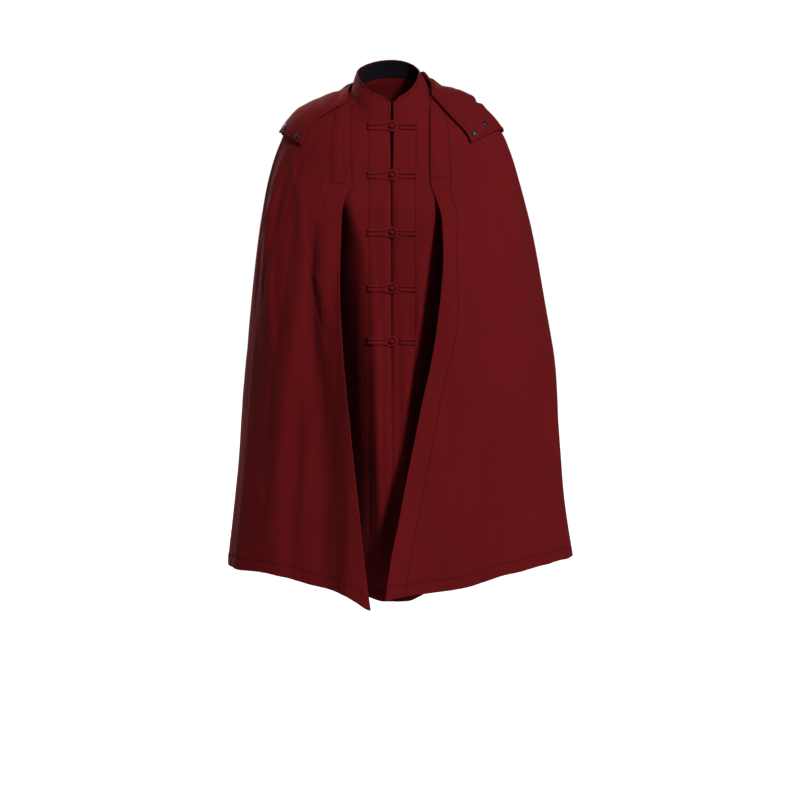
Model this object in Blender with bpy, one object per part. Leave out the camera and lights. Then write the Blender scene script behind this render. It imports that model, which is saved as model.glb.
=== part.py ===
"""Monk cloak: a hooded winter cloak for a monk, worn closed, as hollow cloth panels.

Tables and sizes are in millimetres and degrees, and the meshes are made in metres. +Z is up,
the front faces -Y and the wearer's left is +X. The origin is between the shoulders, at the
height of the neck's base, where the wearer carries the cloak.

A place on the cloak is an angle round the body (0 at the front, 90 at the wearer's left, -90 at
the right, 180 at the back), a way down the cloth from the neck seam, and a lift off the middle
of the cloth.
"""

import math
from collections import namedtuple

import bmesh
import bpy
from mathutils import Vector

MM = 0.001

# Cloth and seams
WALL = 2.5
COLLAR_WALL = 1.6
LINING_WALL = 1.2
SEAM = 0.3
LENGTH = 1200.0
SQUARENESS = 0.25

# Level sections through the cloak, from the top of the collar to the hem. The z columns are the
# heights at the front, sides and back, right and left are the half widths, ahead and behind the
# depths, and lean says how the height runs between front and side.
Ring = namedtuple("Ring", "down front_z side_z back_z right left ahead behind lean")
RINGS = (
    Ring(-46, -8, 52, 80, 78, 61, 80, 62, 1.2),
    Ring(-22, -31, 30, 61, 86, 75, 87, 68, 1.2),
    Ring(0, -53, 8, 42, 92, 86, 92, 74, 1.2),
    Ring(60, -105, -8, -5, 150, 155, 110, 108, 1.5),
    Ring(145, -155, -50, -65, 222, 228, 126, 130, 1.9),
    Ring(240, -205, -125, -140, 259, 266, 138, 146, 2.0),
    Ring(340, -260, -230, -235, 288, 298, 164, 158, 2.0),
    Ring(460, -355, -350, -345, 308, 327, 198, 172, 2.0),
    Ring(600, -490, -490, -485, 324, 353, 216, 185, 2.0),
    Ring(745, -640, -635, -625, 338, 375, 228, 200, 2.0),
    Ring(900, -800, -792, -780, 350, 387, 235, 220, 2.0),
    Ring(1050, -955, -945, -930, 368, 401, 247, 240, 2.0),
    Ring(LENGTH, -1108, -1092, -1075, 387, 424, 259, 262, 2.0),
)

# The cloak's long folds. Each runs from an angle at its start to another at its end, grows until
# full, holds until fade, and pushes the cloth out, or in where push is negative.
Fold = namedtuple("Fold", "from_angle to_angle start full fade end width push")
FOLDS = (
    Fold(-69, -54, 200, 320, 560, 820, 5.5, 8),
    Fold(-41, -47, 480, 640, 900, 1250, 6.5, 10),
    Fold(-37, -24, 330, 470, 700, 1000, 5.0, -9),
    Fold(-29, -27, 340, 450, 560, 740, 4.5, 6),
    Fold(-65, -63, 760, 950, 1300, 1400, 7.0, 9),
    Fold(-24, -20, 760, 950, 1300, 1400, 6.0, -5),
    Fold(-11.5, -6.5, 330, 620, 1300, 1400, 9.5, 42),
    Fold(85, 85, 40, 80, 140, 220, 28.0, -7),
    Fold(62, 56, 190, 300, 560, 800, 9.0, 7),
    Fold(74, 70, 500, 800, 1300, 1400, 8.0, 9),
    Fold(40, 36, 700, 950, 1300, 1400, 8.0, 6),
    Fold(103, 107, 320, 900, 1300, 1400, 9.0, 14),
    Fold(129, 132, 400, 1000, 1300, 1400, 9.0, 26),
    Fold(156, 157, 330, 900, 1300, 1400, 9.5, 22),
    Fold(182, 182, 300, 950, 1300, 1400, 9.0, 30),
    Fold(208, 207, 350, 1000, 1300, 1400, 9.5, 23),
    Fold(234, 232, 320, 900, 1300, 1400, 9.0, 27),
    Fold(258, 255, 400, 1000, 1300, 1400, 9.0, 15),
)

# How much lower the hem hangs than its ring, at angles round the body
HemDip = namedtuple("HemDip", "angle drop")
HEM_DIPS = (
    HemDip(-180, 0),
    HemDip(-95, -4),
    HemDip(-63, -30),
    HemDip(-46, -41),
    HemDip(-26, -29),
    HemDip(-15, -22),
    HemDip(-10.5, -9),
    HemDip(-6.5, 6),
    HemDip(-2.3, -12),
    HemDip(14, -21),
    HemDip(24, -29),
    HemDip(37, -49),
    HemDip(54, -52),
    HemDip(72, -45),
    HemDip(100, -10),
    HemDip(180, 0),
)
DIPS_START = 0.4 * LENGTH

# Free edges of the outer fronts, as distances from the middle. An outer front is sewn down on
# its inner front from the neck to the top of the arm slit.
Edge = namedtuple("Edge", "down right left")
EDGES = (
    Edge(0, 91, 85),
    Edge(60, 93, 84),
    Edge(145, 92, 84),
    Edge(240, 88, 86),
    Edge(300, 104, 98),
    Edge(360, 110, 109),
    Edge(460, 110, 112),
    Edge(540, 108, 107),
    Edge(620, 102, 98),
    Edge(690, 97, 86),
    Edge(780, 88, 66),
    Edge(860, 80, 50),
    Edge(950, 71, 31),
    Edge(1040, 62, 13),
    Edge(1120, 54, -4),
    Edge(LENGTH, 44, -16),
)
SLIT_TOP = {"right": 250.0, "left": 225.0}
UNDERLAP = 18.0
LEAST_LAP_ANGLE = 3.0
LAP_SETTLES = 0.4
LAP_GAP = 0.7
SIDE_SEAM = {"neck": 100.0, "hem": 90.0}

# Below the slit each inner front hangs free: flat from the middle to its ridge, then curving
# back to its side edge. At the hem its side hangs a little higher than its middle.
Hang = namedtuple("Hang", "down z middle_y right_ridge left_ridge side back curve")
HANGS = (
    Hang(200, -190, -140, 90, 82, 116, 28, 1.6),
    Hang(340, -262, -156, 83, 77, 120, 54, 1.6),
    Hang(460, -356, -152, 54, 68, 120, 70, 1.7),
    Hang(600, -492, -150, 43, 58, 114, 78, 1.5),
    Hang(745, -645, -163, 34, 36, 102, 90, 1.3),
    Hang(900, -808, -188, 27, 24, 96, 98, 1.25),
    Hang(1050, -968, -182, 24, 26, 100, 94, 1.25),
    Hang(LENGTH, -1135, -168, 28, 45, 108, 78, 1.25),
)
HANG_BLEND = 90.0
INNER_RISE = 26.0

# The soft trough where the two inner fronts meet
TROUGH_DEPTH = 4.0
TROUGH_REACH = 9.0

# Half the gap between the two fronts and the two ends of the collar
Opening = namedtuple("Opening", "down half_gap")
OPENINGS = (
    Opening(-46, 4.0),
    Opening(0, 3.6),
    Opening(60, 3.0),
    Opening(130, 2.2),
    Opening(200, 1.4),
    Opening(460, 1.2),
    Opening(745, 0.7),
    Opening(LENGTH, 0.5),
)
CLOSED_AT = 200.0

# Collar
CORNER_DROP = 12.0
CORNER_REACH = 10.0
LINING_INSET = 1.5
SHOULDER_COLUMNS = 4

# The hood lies thrown back. Along each chin flap, from its root (0) to its end (1): the angle,
# way down and lift of its lower edge, the way down and lift of its ridge over the shoulder, and
# those of the hood at the middle of the back.
Flap = namedtuple("Flap", "along low_angle low_down low_lift ridge_down ridge_lift back_down back_lift")
FLAPS = {
    "right": (
        Flap(0.00, 65, 24, 5.5, -6, 8, 0, 26),
        Flap(0.25, 62, 62, 7.5, 52, 7, 62, 37),
        Flap(0.50, 59.5, 104, 7.5, 100, 7, 128, 40),
        Flap(0.75, 57, 144, 7.5, 148, 7.5, 200, 37),
        Flap(1.00, 54.6, 186, 7.5, 198, 12, 268, 27),
    ),
    "left": (
        Flap(0.00, 72, 8, 5.0, -30, 9, 0, 26),
        Flap(0.25, 58, 45, 8.5, 30, 17, 62, 37),
        Flap(0.50, 52.5, 80, 8.5, 84, 18, 128, 40),
        Flap(0.65, 50.5, 103, 8.5, 108, 10, 170, 39),
        Flap(0.80, 49, 127, 8.5, 140, 7, 214, 35),
        Flap(1.00, 47.7, 159, 8.5, 194, 7, 268, 27),
    ),
}
RIDGE_ANGLE = 94.0
FLAP_TOP = 100.0
FLAP_MIDDLE = 100.0
HOOD_UNDER_LIFT = 4.2
HOOD_UNDER_TOP = 6.0

# Frogs: a doubled cord on each front, ending in a loop on the right and a knotted button on the
# left. Each row is a place along half of the cord: across from the knot, out from the frog's
# level line, up off the middle of the cloth, and half of the cord's width.
FROG_HEIGHTS = (-70.0, -176.0, -300.0, -423.0, -541.0)
CORD_RADIUS = 4.0
CORD_FLATNESS = 0.62
BOW_RADIUS = 3.2
KNOT_RADIUS = 5.9
KNOT_LIFT = WALL / 2.0 + 0.9 + KNOT_RADIUS
NECK_RADIUS = 1.5
LOOP_RADIUS = KNOT_RADIUS + 0.6 + BOW_RADIUS
CORD_LIFT = 4.4
LOOP_RISE = 4.2
LOOP_ANGLES = (125, 100, 75, 50, 25, 4)
Cord = namedtuple("Cord", "x spread lift radius")
LOOP_CORD = (
    Cord(-54, 4.5, 5.0, CORD_RADIUS),
    Cord(-48, 4.5, 5.2, CORD_RADIUS),
    Cord(-42, 4.5, 5.0, CORD_RADIUS),
    Cord(-29, 4.6, CORD_LIFT, CORD_RADIUS),
    Cord(-20, 5.6, CORD_LIFT, 3.8),
    Cord(-12.5, 7.0, CORD_LIFT, 3.4),
)
BUTTON_CORD = (
    Cord(54, 4.5, 5.6, CORD_RADIUS),
    Cord(48, 4.5, 5.6, CORD_RADIUS),
    Cord(42, 4.5, 5.2, CORD_RADIUS),
    Cord(31, 4.5, 4.7, CORD_RADIUS),
    Cord(21, 4.2, CORD_LIFT, 3.7),
    Cord(15.5, 3.1, 4.1, 2.5),
    Cord(11.5, 2.2, 3.8, 1.8),
    Cord(8.5, 2.0, 3.8, 1.6),
    Cord(4.0, 1.8, 5.2, NECK_RADIUS),
)

# Press fasteners near the end of each chin flap: shares along and across it
SNAP_RADIUS = 6.8
SNAP_PROFILE = ((1.0, 0.0), (1.0, 1.0), (0.82, 1.8), (0.38, 2.2))
SNAPS = {
    "right": ((0.93, 0.11), (0.91, 0.52)),
    "left": ((0.89, 0.085), (0.86, 0.31)),
}
SNAP_LIFT = 0.5

# How far the fronts fall for each millimetre down the cloth, for finding a height on them
USUAL_FALL = 0.8

# Mesh spacing
ROWS = (0, 28, 56, 84, 112, 142, 174, 208, 244, 284, 330, 390, 455, 525, 600, 680, 765, 850, 935,
        1020, 1110, LENGTH)
BACK_COLUMNS = 40
FRONT_COLUMNS = 17
INNER_SHARES = (0.0, 0.11, 0.26, 0.46, 0.72, 1.0)
COLLAR_BANDS = 4
HOOD_COLUMNS = 11
FLAP_ROWS = 10
FLAP_COLUMNS = 7
HOOD_TURN_ROWS = 3
HOOD_UNDER_ROWS = 7
CORD_SIDES = 6
SNAP_SIDES = 12

# Colours: linear red, green, blue, then roughness and metallic value
FINISHES = {
    "wine_wool": (0.115, 0.0075, 0.0085, 0.92, 0.0),
    "dark_lining": (0.006, 0.005, 0.008, 0.9, 0.0),
    "wine_cord": (0.13, 0.01, 0.011, 0.75, 0.0),
    "gunmetal": (0.05, 0.045, 0.04, 0.35, 1.0),
}


def blend(a, b, share):
    return a + (b - a) * share


def ease(value, low, high):
    """0 below low, 1 above high, and a smooth rise between them."""
    share = min(max((value - low) / (high - low), 0.0), 1.0)
    return share * share * (3.0 - 2.0 * share)


def slope_at(rows, index, column):
    """The slope of a column at a row, level where the column turns."""
    steps = []
    for first in (index - 1, index):
        if 0 <= first < len(rows) - 1:
            rise = rows[first + 1][column] - rows[first][column]
            steps.append(rise / (rows[first + 1][0] - rows[first][0]))
    if len(steps) == 1:
        return steps[0]
    before, after = steps
    if before * after <= 0:
        return 0.0
    return 2.0 * before * after / (before + after)


def reading(rows, at):
    """The row of a table at a place between its rows, on a smooth curve through them."""
    at = min(max(at, rows[0][0]), rows[-1][0])
    index = 1
    while rows[index][0] < at:
        index += 1
    low, high = rows[index - 1], rows[index]
    span = high[0] - low[0]
    t = (at - low[0]) / span
    values = [at]
    for column in range(1, len(low)):
        leave = slope_at(rows, index - 1, column) * span
        reach = slope_at(rows, index, column) * span
        rise = high[column] - low[column]
        values.append(
            low[column] + t * leave + t * t * (3 * rise - 2 * leave - reach)
            + t * t * t * (leave + reach - 2 * rise)
        )
    return type(low)(*values)


def turned_angle(angle):
    """The same angle between -180 and 180."""
    return (angle + 180.0) % 360.0 - 180.0


def fold_push(angle, down):
    """How far the folds push the cloth out at one place."""
    push = 0.0
    for fold in FOLDS:
        strength = ease(down, fold.start, fold.full) * (1.0 - ease(down, fold.fade, fold.end))
        if strength == 0.0:
            continue
        middle = blend(fold.from_angle, fold.to_angle, ease(down, fold.start, fold.end))
        away = turned_angle(angle - middle) / fold.width
        push += fold.push * strength * math.exp(-away * away)
    return push


def cloth_middle(angle, down):
    """A point on the middle of the cloak's cloth."""
    ring = reading(RINGS, down)
    turn = math.radians(angle)
    sideways, forward = math.sin(turn), math.cos(turn)
    half = ring.left if sideways > 0 else ring.right
    depth = ring.ahead if forward > 0 else ring.behind
    end_z = ring.front_z if forward > 0 else ring.back_z
    push = fold_push(angle, down)
    out = Vector((sideways * depth, -forward * half, 0.0)).normalized() * push
    dip = reading(HEM_DIPS, turned_angle(angle)).drop * ease(down, DIPS_START, LENGTH)
    return Vector((
        half * sideways + out.x,
        -depth * forward * (1.0 + SQUARENESS * sideways * sideways) + out.y,
        blend(ring.side_z, end_z, abs(forward) ** ring.lean) - dip,
    ))


def cloth_normal(angle, down):
    """The outward direction at a point of the cloak."""
    around = cloth_middle(angle + 0.2, down) - cloth_middle(angle - 0.2, down)
    downward = cloth_middle(angle, down + 0.5) - cloth_middle(angle, down - 0.5)
    return downward.cross(around).normalized()


def cloth_place(angle, down, lift):
    return cloth_middle(angle, down) + cloth_normal(angle, down) * lift


def sign_of(side):
    return 1.0 if side == "left" else -1.0


def half_width(side, down):
    return getattr(reading(RINGS, down), side)


def angle_at_x(side, x, down):
    """The angle, counted from the front, at which the cloak is this far from the middle."""
    share = x / half_width(side, down)
    return math.degrees(math.asin(min(max(share, -1.0), math.sin(math.radians(86.0)))))


def edge_x(side, down):
    return getattr(reading(EDGES, down), side)


def side_seam_angle(down):
    return blend(SIDE_SEAM["neck"], SIDE_SEAM["hem"], ease(down, 0.0, LENGTH))


def angle_across(gap, down):
    """The angle that spans a gap along the cloth near the side seam."""
    reach = (cloth_middle(91.0, down) - cloth_middle(90.0, down)).length
    return gap / reach


def rows_down():
    """The ways down at which panels have points, starting just under the neck seam."""
    return (SEAM / 2.0,) + ROWS[1:]


def material(slot):
    """A plain material with the slot's colour."""
    if slot in bpy.data.materials:
        return bpy.data.materials[slot]
    red, green, blue, roughness, metallic = FINISHES[slot]
    made = bpy.data.materials.new(slot)
    made.use_nodes = True
    shader = made.node_tree.nodes["Principled BSDF"]
    shader.inputs["Base Color"].default_value = (red, green, blue, 1.0)
    shader.inputs["Roughness"].default_value = roughness
    shader.inputs["Metallic"].default_value = metallic
    made.diffuse_color = (red, green, blue, 1.0)
    return made


def add_object(name, points, faces, slot):
    """One closed mesh object from points in millimetres."""
    work = bmesh.new()
    corners = [work.verts.new(point * MM) for point in points]
    for face in faces:
        work.faces.new([corners[index] for index in face])
    bmesh.ops.recalc_face_normals(work, faces=work.faces)
    mesh = bpy.data.meshes.new(name)
    work.to_mesh(mesh)
    work.free()
    mesh.shade_smooth()
    mesh.set_sharp_from_angle(angle=math.radians(50.0))
    mesh.materials.append(material(slot))
    made = bpy.data.objects.new(name, mesh)
    bpy.context.scene.collection.objects.link(made)
    return made


def add_sheet(name, middles, normals, wall, slot):
    """A wall of cloth, built half to each side of a grid of middle points."""
    rows, columns = len(middles), len(middles[0])
    points = []
    for face_side in (0.5, -0.5):
        for middle_row, normal_row in zip(middles, normals):
            for middle, normal in zip(middle_row, normal_row):
                points.append(middle + normal * wall * face_side)
    under = rows * columns

    def at(row, column, face_side=0):
        return face_side * under + row * columns + column

    faces = []
    for row in range(rows - 1):
        for column in range(columns - 1):
            a, b = at(row, column), at(row, column + 1)
            c, d = at(row + 1, column + 1), at(row + 1, column)
            faces += [(a, b, c), (a, c, d)]
            faces += [(a + under, c + under, b + under), (a + under, d + under, c + under)]
    border = [(0, column) for column in range(columns)]
    border += [(row, columns - 1) for row in range(1, rows)]
    border += [(rows - 1, column) for column in range(columns - 2, -1, -1)]
    border += [(row, 0) for row in range(rows - 2, 0, -1)]
    for here, there in zip(border, border[1:] + border[:1]):
        a, b = at(*here), at(*there)
        faces += [(b, a, a + under), (b, a + under, b + under)]
    return add_object(name, points, faces, slot)


def grid_normals(middles, outward):
    """Directions square to a grid of points, towards the side where outward is positive."""
    rows, columns = len(middles), len(middles[0])
    normals = []
    for row in range(rows):
        above, below = middles[max(row - 1, 0)], middles[min(row + 1, rows - 1)]
        line = []
        for column in range(columns):
            before, after = max(column - 1, 0), min(column + 1, columns - 1)
            down = below[column] - above[column]
            across = middles[row][after] - middles[row][before]
            line.append(down.cross(across).normalized() * outward)
        normals.append(line)
    return normals


def add_back():
    middles, normals = [], []
    for down in rows_down():
        start = side_seam_angle(down) + angle_across(SEAM / 2.0, down)
        angles = [blend(start, 360.0 - start, step / BACK_COLUMNS) for step in range(BACK_COLUMNS + 1)]
        middles.append([cloth_middle(angle, down) for angle in angles])
        normals.append([cloth_normal(angle, down) for angle in angles])
    add_sheet("back", middles, normals, WALL, "wine_wool")


def lap_angles(side, down):
    """Angles between which an outer front lies over its inner front."""
    edge = angle_at_x(side, edge_x(side, down), down)
    under = angle_at_x(side, edge_x(side, down) + UNDERLAP, down)
    return edge, max(under, edge + LEAST_LAP_ANGLE)


def front_lift(side, angle, down):
    """How far an outer front stands off the body's surface: a cloth higher where it laps."""
    under = lap_angles(side, down)[1]
    share = (angle - under) / (side_seam_angle(down) - under)
    return (WALL + LAP_GAP) * (1.0 - ease(share, 0.0, LAP_SETTLES))


def add_front(side):
    """An outer front: over the inner front at its edge, then on the body to the side seam."""
    middles, normals = [], []
    for down in rows_down():
        edge, under = lap_angles(side, down)
        seam = side_seam_angle(down) - angle_across(SEAM / 2.0, down)
        angles = [edge] + [blend(under, seam, step / FRONT_COLUMNS) for step in range(FRONT_COLUMNS + 1)]
        middles.append([
            cloth_place(sign_of(side) * angle, down, front_lift(side, angle, down)) for angle in angles
        ])
        normals.append([cloth_normal(sign_of(side) * angle, down) for angle in angles])
    add_sheet("front_" + side, middles, normals, WALL, "wine_wool")


def hanging_place(side, x, down):
    """A point of an inner front where it hangs free, x being its distance from the middle."""
    hang = reading(HANGS, down)
    ridge = getattr(hang, side + "_ridge")
    turned_back = max(x - ridge, 0.0) / (hang.side - ridge)
    trough = TROUGH_DEPTH * math.exp(-(x / TROUGH_REACH) ** 2)
    y = hang.middle_y + trough + hang.back * turned_back ** hang.curve
    rise = INNER_RISE * (x / hang.side) ** 2 * ease(down, DIPS_START, LENGTH)
    return Vector((sign_of(side) * x, y, hang.z + rise))


def inner_middle(side, x, down):
    """A point on the middle of an inner front."""
    angle = sign_of(side) * angle_at_x(side, x, down)
    on_body = cloth_middle(angle, down)
    free = ease(down, SLIT_TOP[side], SLIT_TOP[side] + HANG_BLEND)
    if free == 0.0:
        return on_body
    return on_body.lerp(hanging_place(side, x, down), free)


def inner_normal(side, x, down):
    """The outward direction of an inner front, square to the body while it lies on it."""
    angle = sign_of(side) * angle_at_x(side, x, down)
    on_body = cloth_normal(angle, down)
    free = ease(down, SLIT_TOP[side], SLIT_TOP[side] + HANG_BLEND)
    if free == 0.0:
        return on_body
    across = inner_middle(side, x + 1.0, down) - inner_middle(side, x - 1.0, down)
    downward = inner_middle(side, x, down + 1.0) - inner_middle(side, x, down - 1.0)
    own = downward.cross(across).normalized() * sign_of(side)
    return on_body.lerp(own, free).normalized()


def inner_columns(side, down):
    """Distances from the middle at which an inner front has points: to its lap, and its end."""
    free = ease(down, SLIT_TOP[side], SLIT_TOP[side] + HANG_BLEND)
    edge, under = lap_angles(side, down)
    lap_x, end_x = [half_width(side, down) * math.sin(math.radians(angle)) for angle in (edge, under)]
    side_x = reading(HANGS, down).side
    gap = reading(OPENINGS, down).half_gap
    lap_x = blend(lap_x, side_x - UNDERLAP, free)
    return [blend(gap, lap_x, share) for share in INNER_SHARES] + [blend(end_x, side_x, free)]


def add_inner_front(side):
    middles, normals = [], []
    for down in rows_down():
        columns = inner_columns(side, down)
        middles.append([inner_middle(side, x, down) for x in columns])
        normals.append([inner_normal(side, x, down) for x in columns])
    add_sheet("inner_front_" + side, middles, normals, WALL, "wine_wool")


def collar_angles():
    """Angles round the collar from one front end to the other, at the panels' own columns."""
    neck = SEAM / 2.0
    fronts = {}
    for side in ("left", "right"):
        angles = [angle_at_x(side, x, neck) for x in inner_columns(side, neck)]
        start, end = angles[-1], SIDE_SEAM["neck"]
        angles += [blend(start, end, step / SHOULDER_COLUMNS) for step in range(1, SHOULDER_COLUMNS)]
        fronts[side] = angles
    back_span = 360.0 - 2.0 * SIDE_SEAM["neck"]
    back = [SIDE_SEAM["neck"] + back_span * step / BACK_COLUMNS for step in range(BACK_COLUMNS + 1)]
    return fronts["left"] + back + [360.0 - angle for angle in reversed(fronts["right"])]


def add_collar_layer(name, lift, wall, inset, slot):
    """One layer of the standing collar, its top corners rounded down at the front."""
    angles = collar_angles()
    middles, normals = [], []
    for band in range(COLLAR_BANDS + 1):
        row, directions = [], []
        for angle in angles:
            from_middle = abs(turned_angle(angle)) / 90.0 * half_width("left", 0.0)
            corner = CORNER_DROP * math.exp(-(from_middle / CORNER_REACH) ** 2)
            top = RINGS[0].down + inset + corner
            down = blend(top, -SEAM / 2.0, band / COLLAR_BANDS)
            row.append(cloth_place(angle, down, lift))
            directions.append(cloth_normal(angle, down))
        middles.append(row)
        normals.append(directions)
    add_sheet(name, middles, normals, wall, slot)


def add_collar():
    add_collar_layer("collar", 0.0, COLLAR_WALL, 0.0, "wine_wool")
    inward = -(COLLAR_WALL / 2.0 + SEAM + LINING_WALL / 2.0)
    add_collar_layer("collar_lining", inward, LINING_WALL, LINING_INSET, "dark_lining")


def hood_layer(side, along, angle):
    """The way down and lift of the hood's outer layer, or its chin flap's, at an angle."""
    row = reading(FLAPS[side], along)
    if angle <= RIDGE_ANGLE:
        share = (angle - row.low_angle) / (RIDGE_ANGLE - row.low_angle)
        down = blend(row.low_down, row.ridge_down, share)
        lift = blend(row.low_lift, row.ridge_lift, ease(share, 0.0, 1.0))
        return down, lift
    share = ease(angle, FLAP_TOP, 180.0)
    return blend(row.ridge_down, row.back_down, share), blend(row.ridge_lift, row.back_lift, share)


def hood_place(side, along, angle):
    """A point on the middle of the hood's outer layer or of its chin flap."""
    down, lift = hood_layer(side, along, angle)
    lift += front_lift(side, angle, max(down, 0.0))
    return cloth_place(sign_of(side) * angle, down, lift)


def hood_normal(side, along, angle):
    """The outward direction of the hood's outer layer and flap."""
    lengthwise = hood_place(side, along + 0.01, angle) - hood_place(side, along - 0.01, angle)
    across = hood_place(side, along, angle + 0.5) - hood_place(side, along, angle - 0.5)
    return lengthwise.cross(across).normalized() * sign_of(side)


def flap_angle(side, along, across):
    """The angle at a share of the chin flap's width, from its lower edge to the hood's seam."""
    seam = FLAP_TOP - angle_across(SEAM / 2.0, FLAP_MIDDLE)
    return blend(reading(FLAPS[side], along).low_angle, seam, across)


def add_hood_flap(side):
    middles, normals = [], []
    for row in range(FLAP_ROWS + 1):
        along = row / FLAP_ROWS
        angles = [flap_angle(side, along, column / FLAP_COLUMNS) for column in range(FLAP_COLUMNS + 1)]
        middles.append([hood_place(side, along, angle) for angle in angles])
        normals.append([hood_normal(side, along, angle) for angle in angles])
    add_sheet("hood_flap_" + side, middles, normals, WALL, "wine_wool")


def hood_under(side, angle):
    """Places round the hood's bottom and up its under layer to the neck at an angle."""
    bottom_down, bottom_lift = hood_layer(side, 1.0, angle)
    radius = (bottom_lift - HOOD_UNDER_LIFT) / 2.0
    places = []
    for step in range(1, HOOD_TURN_ROWS + 1):
        turn = math.pi * step / (HOOD_TURN_ROWS + 1)
        lift = HOOD_UNDER_LIFT + radius * (1.0 + math.cos(turn))
        places.append((bottom_down + radius * math.sin(turn), lift))
    for step in range(HOOD_UNDER_ROWS + 1):
        down = blend(bottom_down, HOOD_UNDER_TOP, step / HOOD_UNDER_ROWS)
        places.append((down, HOOD_UNDER_LIFT))
    return [cloth_place(sign_of(side) * angle, down, lift) for down, lift in places]


def add_hood_half(side):
    """Half of the hood: its outer layer, rounded bottom and under layer in one wall."""
    start = FLAP_TOP + angle_across(SEAM / 2.0, FLAP_MIDDLE)
    end = 180.0 - angle_across(SEAM / 2.0, FLAP_MIDDLE)
    alongs = [row / FLAP_ROWS for row in range(FLAP_ROWS + 1)]
    columns = []
    for step in range(HOOD_COLUMNS + 1):
        angle = blend(start, end, step / HOOD_COLUMNS)
        outer = [hood_place(side, along, angle) for along in alongs]
        columns.append(outer + hood_under(side, angle))
    middles = [list(row) for row in zip(*columns)]
    normals = grid_normals(middles, sign_of(side))
    for row, along in enumerate(alongs):
        normals[row][0] = hood_normal(side, along, start)
    add_sheet("hood_" + side, middles, normals, WALL, "wine_wool")


def front_place(x, z, lift):
    """The point lifted square off the inner fronts at this x and height, and the way off them."""
    side = "left" if x > 0 else "right"
    half_gap = reading(OPENINGS, CLOSED_AT).half_gap
    base_x, down = max(abs(x), half_gap), -z
    for attempt in range(10):
        normal = inner_normal(side, base_x, down)
        point = inner_middle(side, base_x, down) + normal * lift
        base_x = max(base_x + abs(x) - abs(point.x), half_gap)
        down = max(down + (point.z - z) / USUAL_FALL, 1.0)
    return Vector((x, point.y, point.z)), normal


def add_cord(name, cords, height):
    """A flattened cord lying on the inner fronts, through both halves of a doubled path."""
    cords = list(cords) + [Cord(cord.x, -cord.spread, cord.lift, cord.radius) for cord in cords[::-1]]
    places = [front_place(cord.x, height + cord.spread, cord.lift) for cord in cords]
    middles = [middle for middle, normal in places]
    sides = CORD_SIDES
    points, faces = [], []
    for index, (cord, (middle, normal)) in enumerate(zip(cords, places)):
        before, after = middles[max(index - 1, 0)], middles[min(index + 1, len(middles) - 1)]
        along = (after - before).normalized()
        across = along.cross(normal).normalized()
        upward = across.cross(along)
        for step in range(sides):
            turn = 2.0 * math.pi * step / sides
            spoke = across * math.cos(turn) + upward * math.sin(turn) * CORD_FLATNESS
            points.append(middle + spoke * cord.radius)
    for first in range(0, len(points) - sides, sides):
        for step in range(sides):
            a, b = first + step, first + (step + 1) % sides
            faces.append((a, b, b + sides, a + sides))
    faces.append(tuple(range(sides)))
    faces.append(tuple(range(len(points) - sides, len(points))))
    return add_object(name, points, faces, "wine_cord")


def add_loop(number, height):
    """The loop side of a frog, its bow rising over the button's neck."""
    bow = []
    for degrees in LOOP_ANGLES:
        x = LOOP_RADIUS * math.cos(math.radians(degrees))
        spread = LOOP_RADIUS * math.sin(math.radians(degrees))
        rise = LOOP_RISE * (1.0 + x / LOOP_RADIUS) / 2.0
        bow.append(Cord(x, spread, CORD_LIFT + rise, BOW_RADIUS))
    add_cord("frog_%d_loop" % number, list(LOOP_CORD) + bow, height)


def add_button(number, height):
    """The button side of a frog: a ball knot whose neck passes under the loop to two tails."""
    middle = Cord(0.0, 0.4, KNOT_LIFT - 1.0, NECK_RADIUS)
    tails = add_cord("frog_%d_tails" % number, list(BUTTON_CORD) + [middle], height)
    tails.hide_render = True
    tails.display_type = "WIRE"

    work = bmesh.new()
    bmesh.ops.create_uvsphere(work, u_segments=10, v_segments=7, radius=KNOT_RADIUS * MM)
    centre, normal = front_place(0.0, height, KNOT_LIFT)
    bmesh.ops.translate(work, verts=work.verts, vec=centre * MM)
    mesh = bpy.data.meshes.new("frog_%d_button" % number)
    work.to_mesh(mesh)
    work.free()
    mesh.materials.append(material("wine_cord"))
    button = bpy.data.objects.new("frog_%d_button" % number, mesh)
    bpy.context.scene.collection.objects.link(button)
    union = button.modifiers.new("tails", "BOOLEAN")
    union.operation = "UNION"
    union.object = tails


def add_snap(side, number, along, across):
    """A low turned cap, standing on the chin flap."""
    angle = flap_angle(side, along, across)
    here = hood_place(side, along, angle)
    axis = hood_normal(side, along, angle)
    along_step = hood_place(side, along + 0.01, angle) - here
    first = along_step.normalized()
    second = axis.cross(first)
    sides = SNAP_SIDES
    points, faces = [], []
    for share, height in SNAP_PROFILE:
        centre = here + axis * (WALL / 2.0 + SNAP_LIFT + height)
        for step in range(sides):
            turn = 2.0 * math.pi * step / sides
            spoke = first * math.cos(turn) + second * math.sin(turn)
            points.append(centre + spoke * SNAP_RADIUS * share)
    for ring in range(len(SNAP_PROFILE) - 1):
        for step in range(sides):
            beside = (step + 1) % sides
            a, b = ring * sides + step, ring * sides + beside
            faces.append((a, b, b + sides, a + sides))
    faces.append(tuple(range(sides)))
    faces.append(tuple(range(len(points) - sides, len(points))))
    add_object("snap_%s_%d" % (side, number), points, faces, "gunmetal")


def clear_scene():
    for old in list(bpy.data.objects):
        bpy.data.objects.remove(old, do_unlink=True)


def main():
    clear_scene()
    add_back()
    add_collar()
    for side in ("right", "left"):
        add_front(side)
        add_inner_front(side)
        add_hood_half(side)
        add_hood_flap(side)
        for number, (along, across) in enumerate(SNAPS[side], start=1):
            add_snap(side, number, along, across)
    for number, height in enumerate(FROG_HEIGHTS, start=1):
        add_loop(number, height)
        add_button(number, height)


main()
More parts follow.
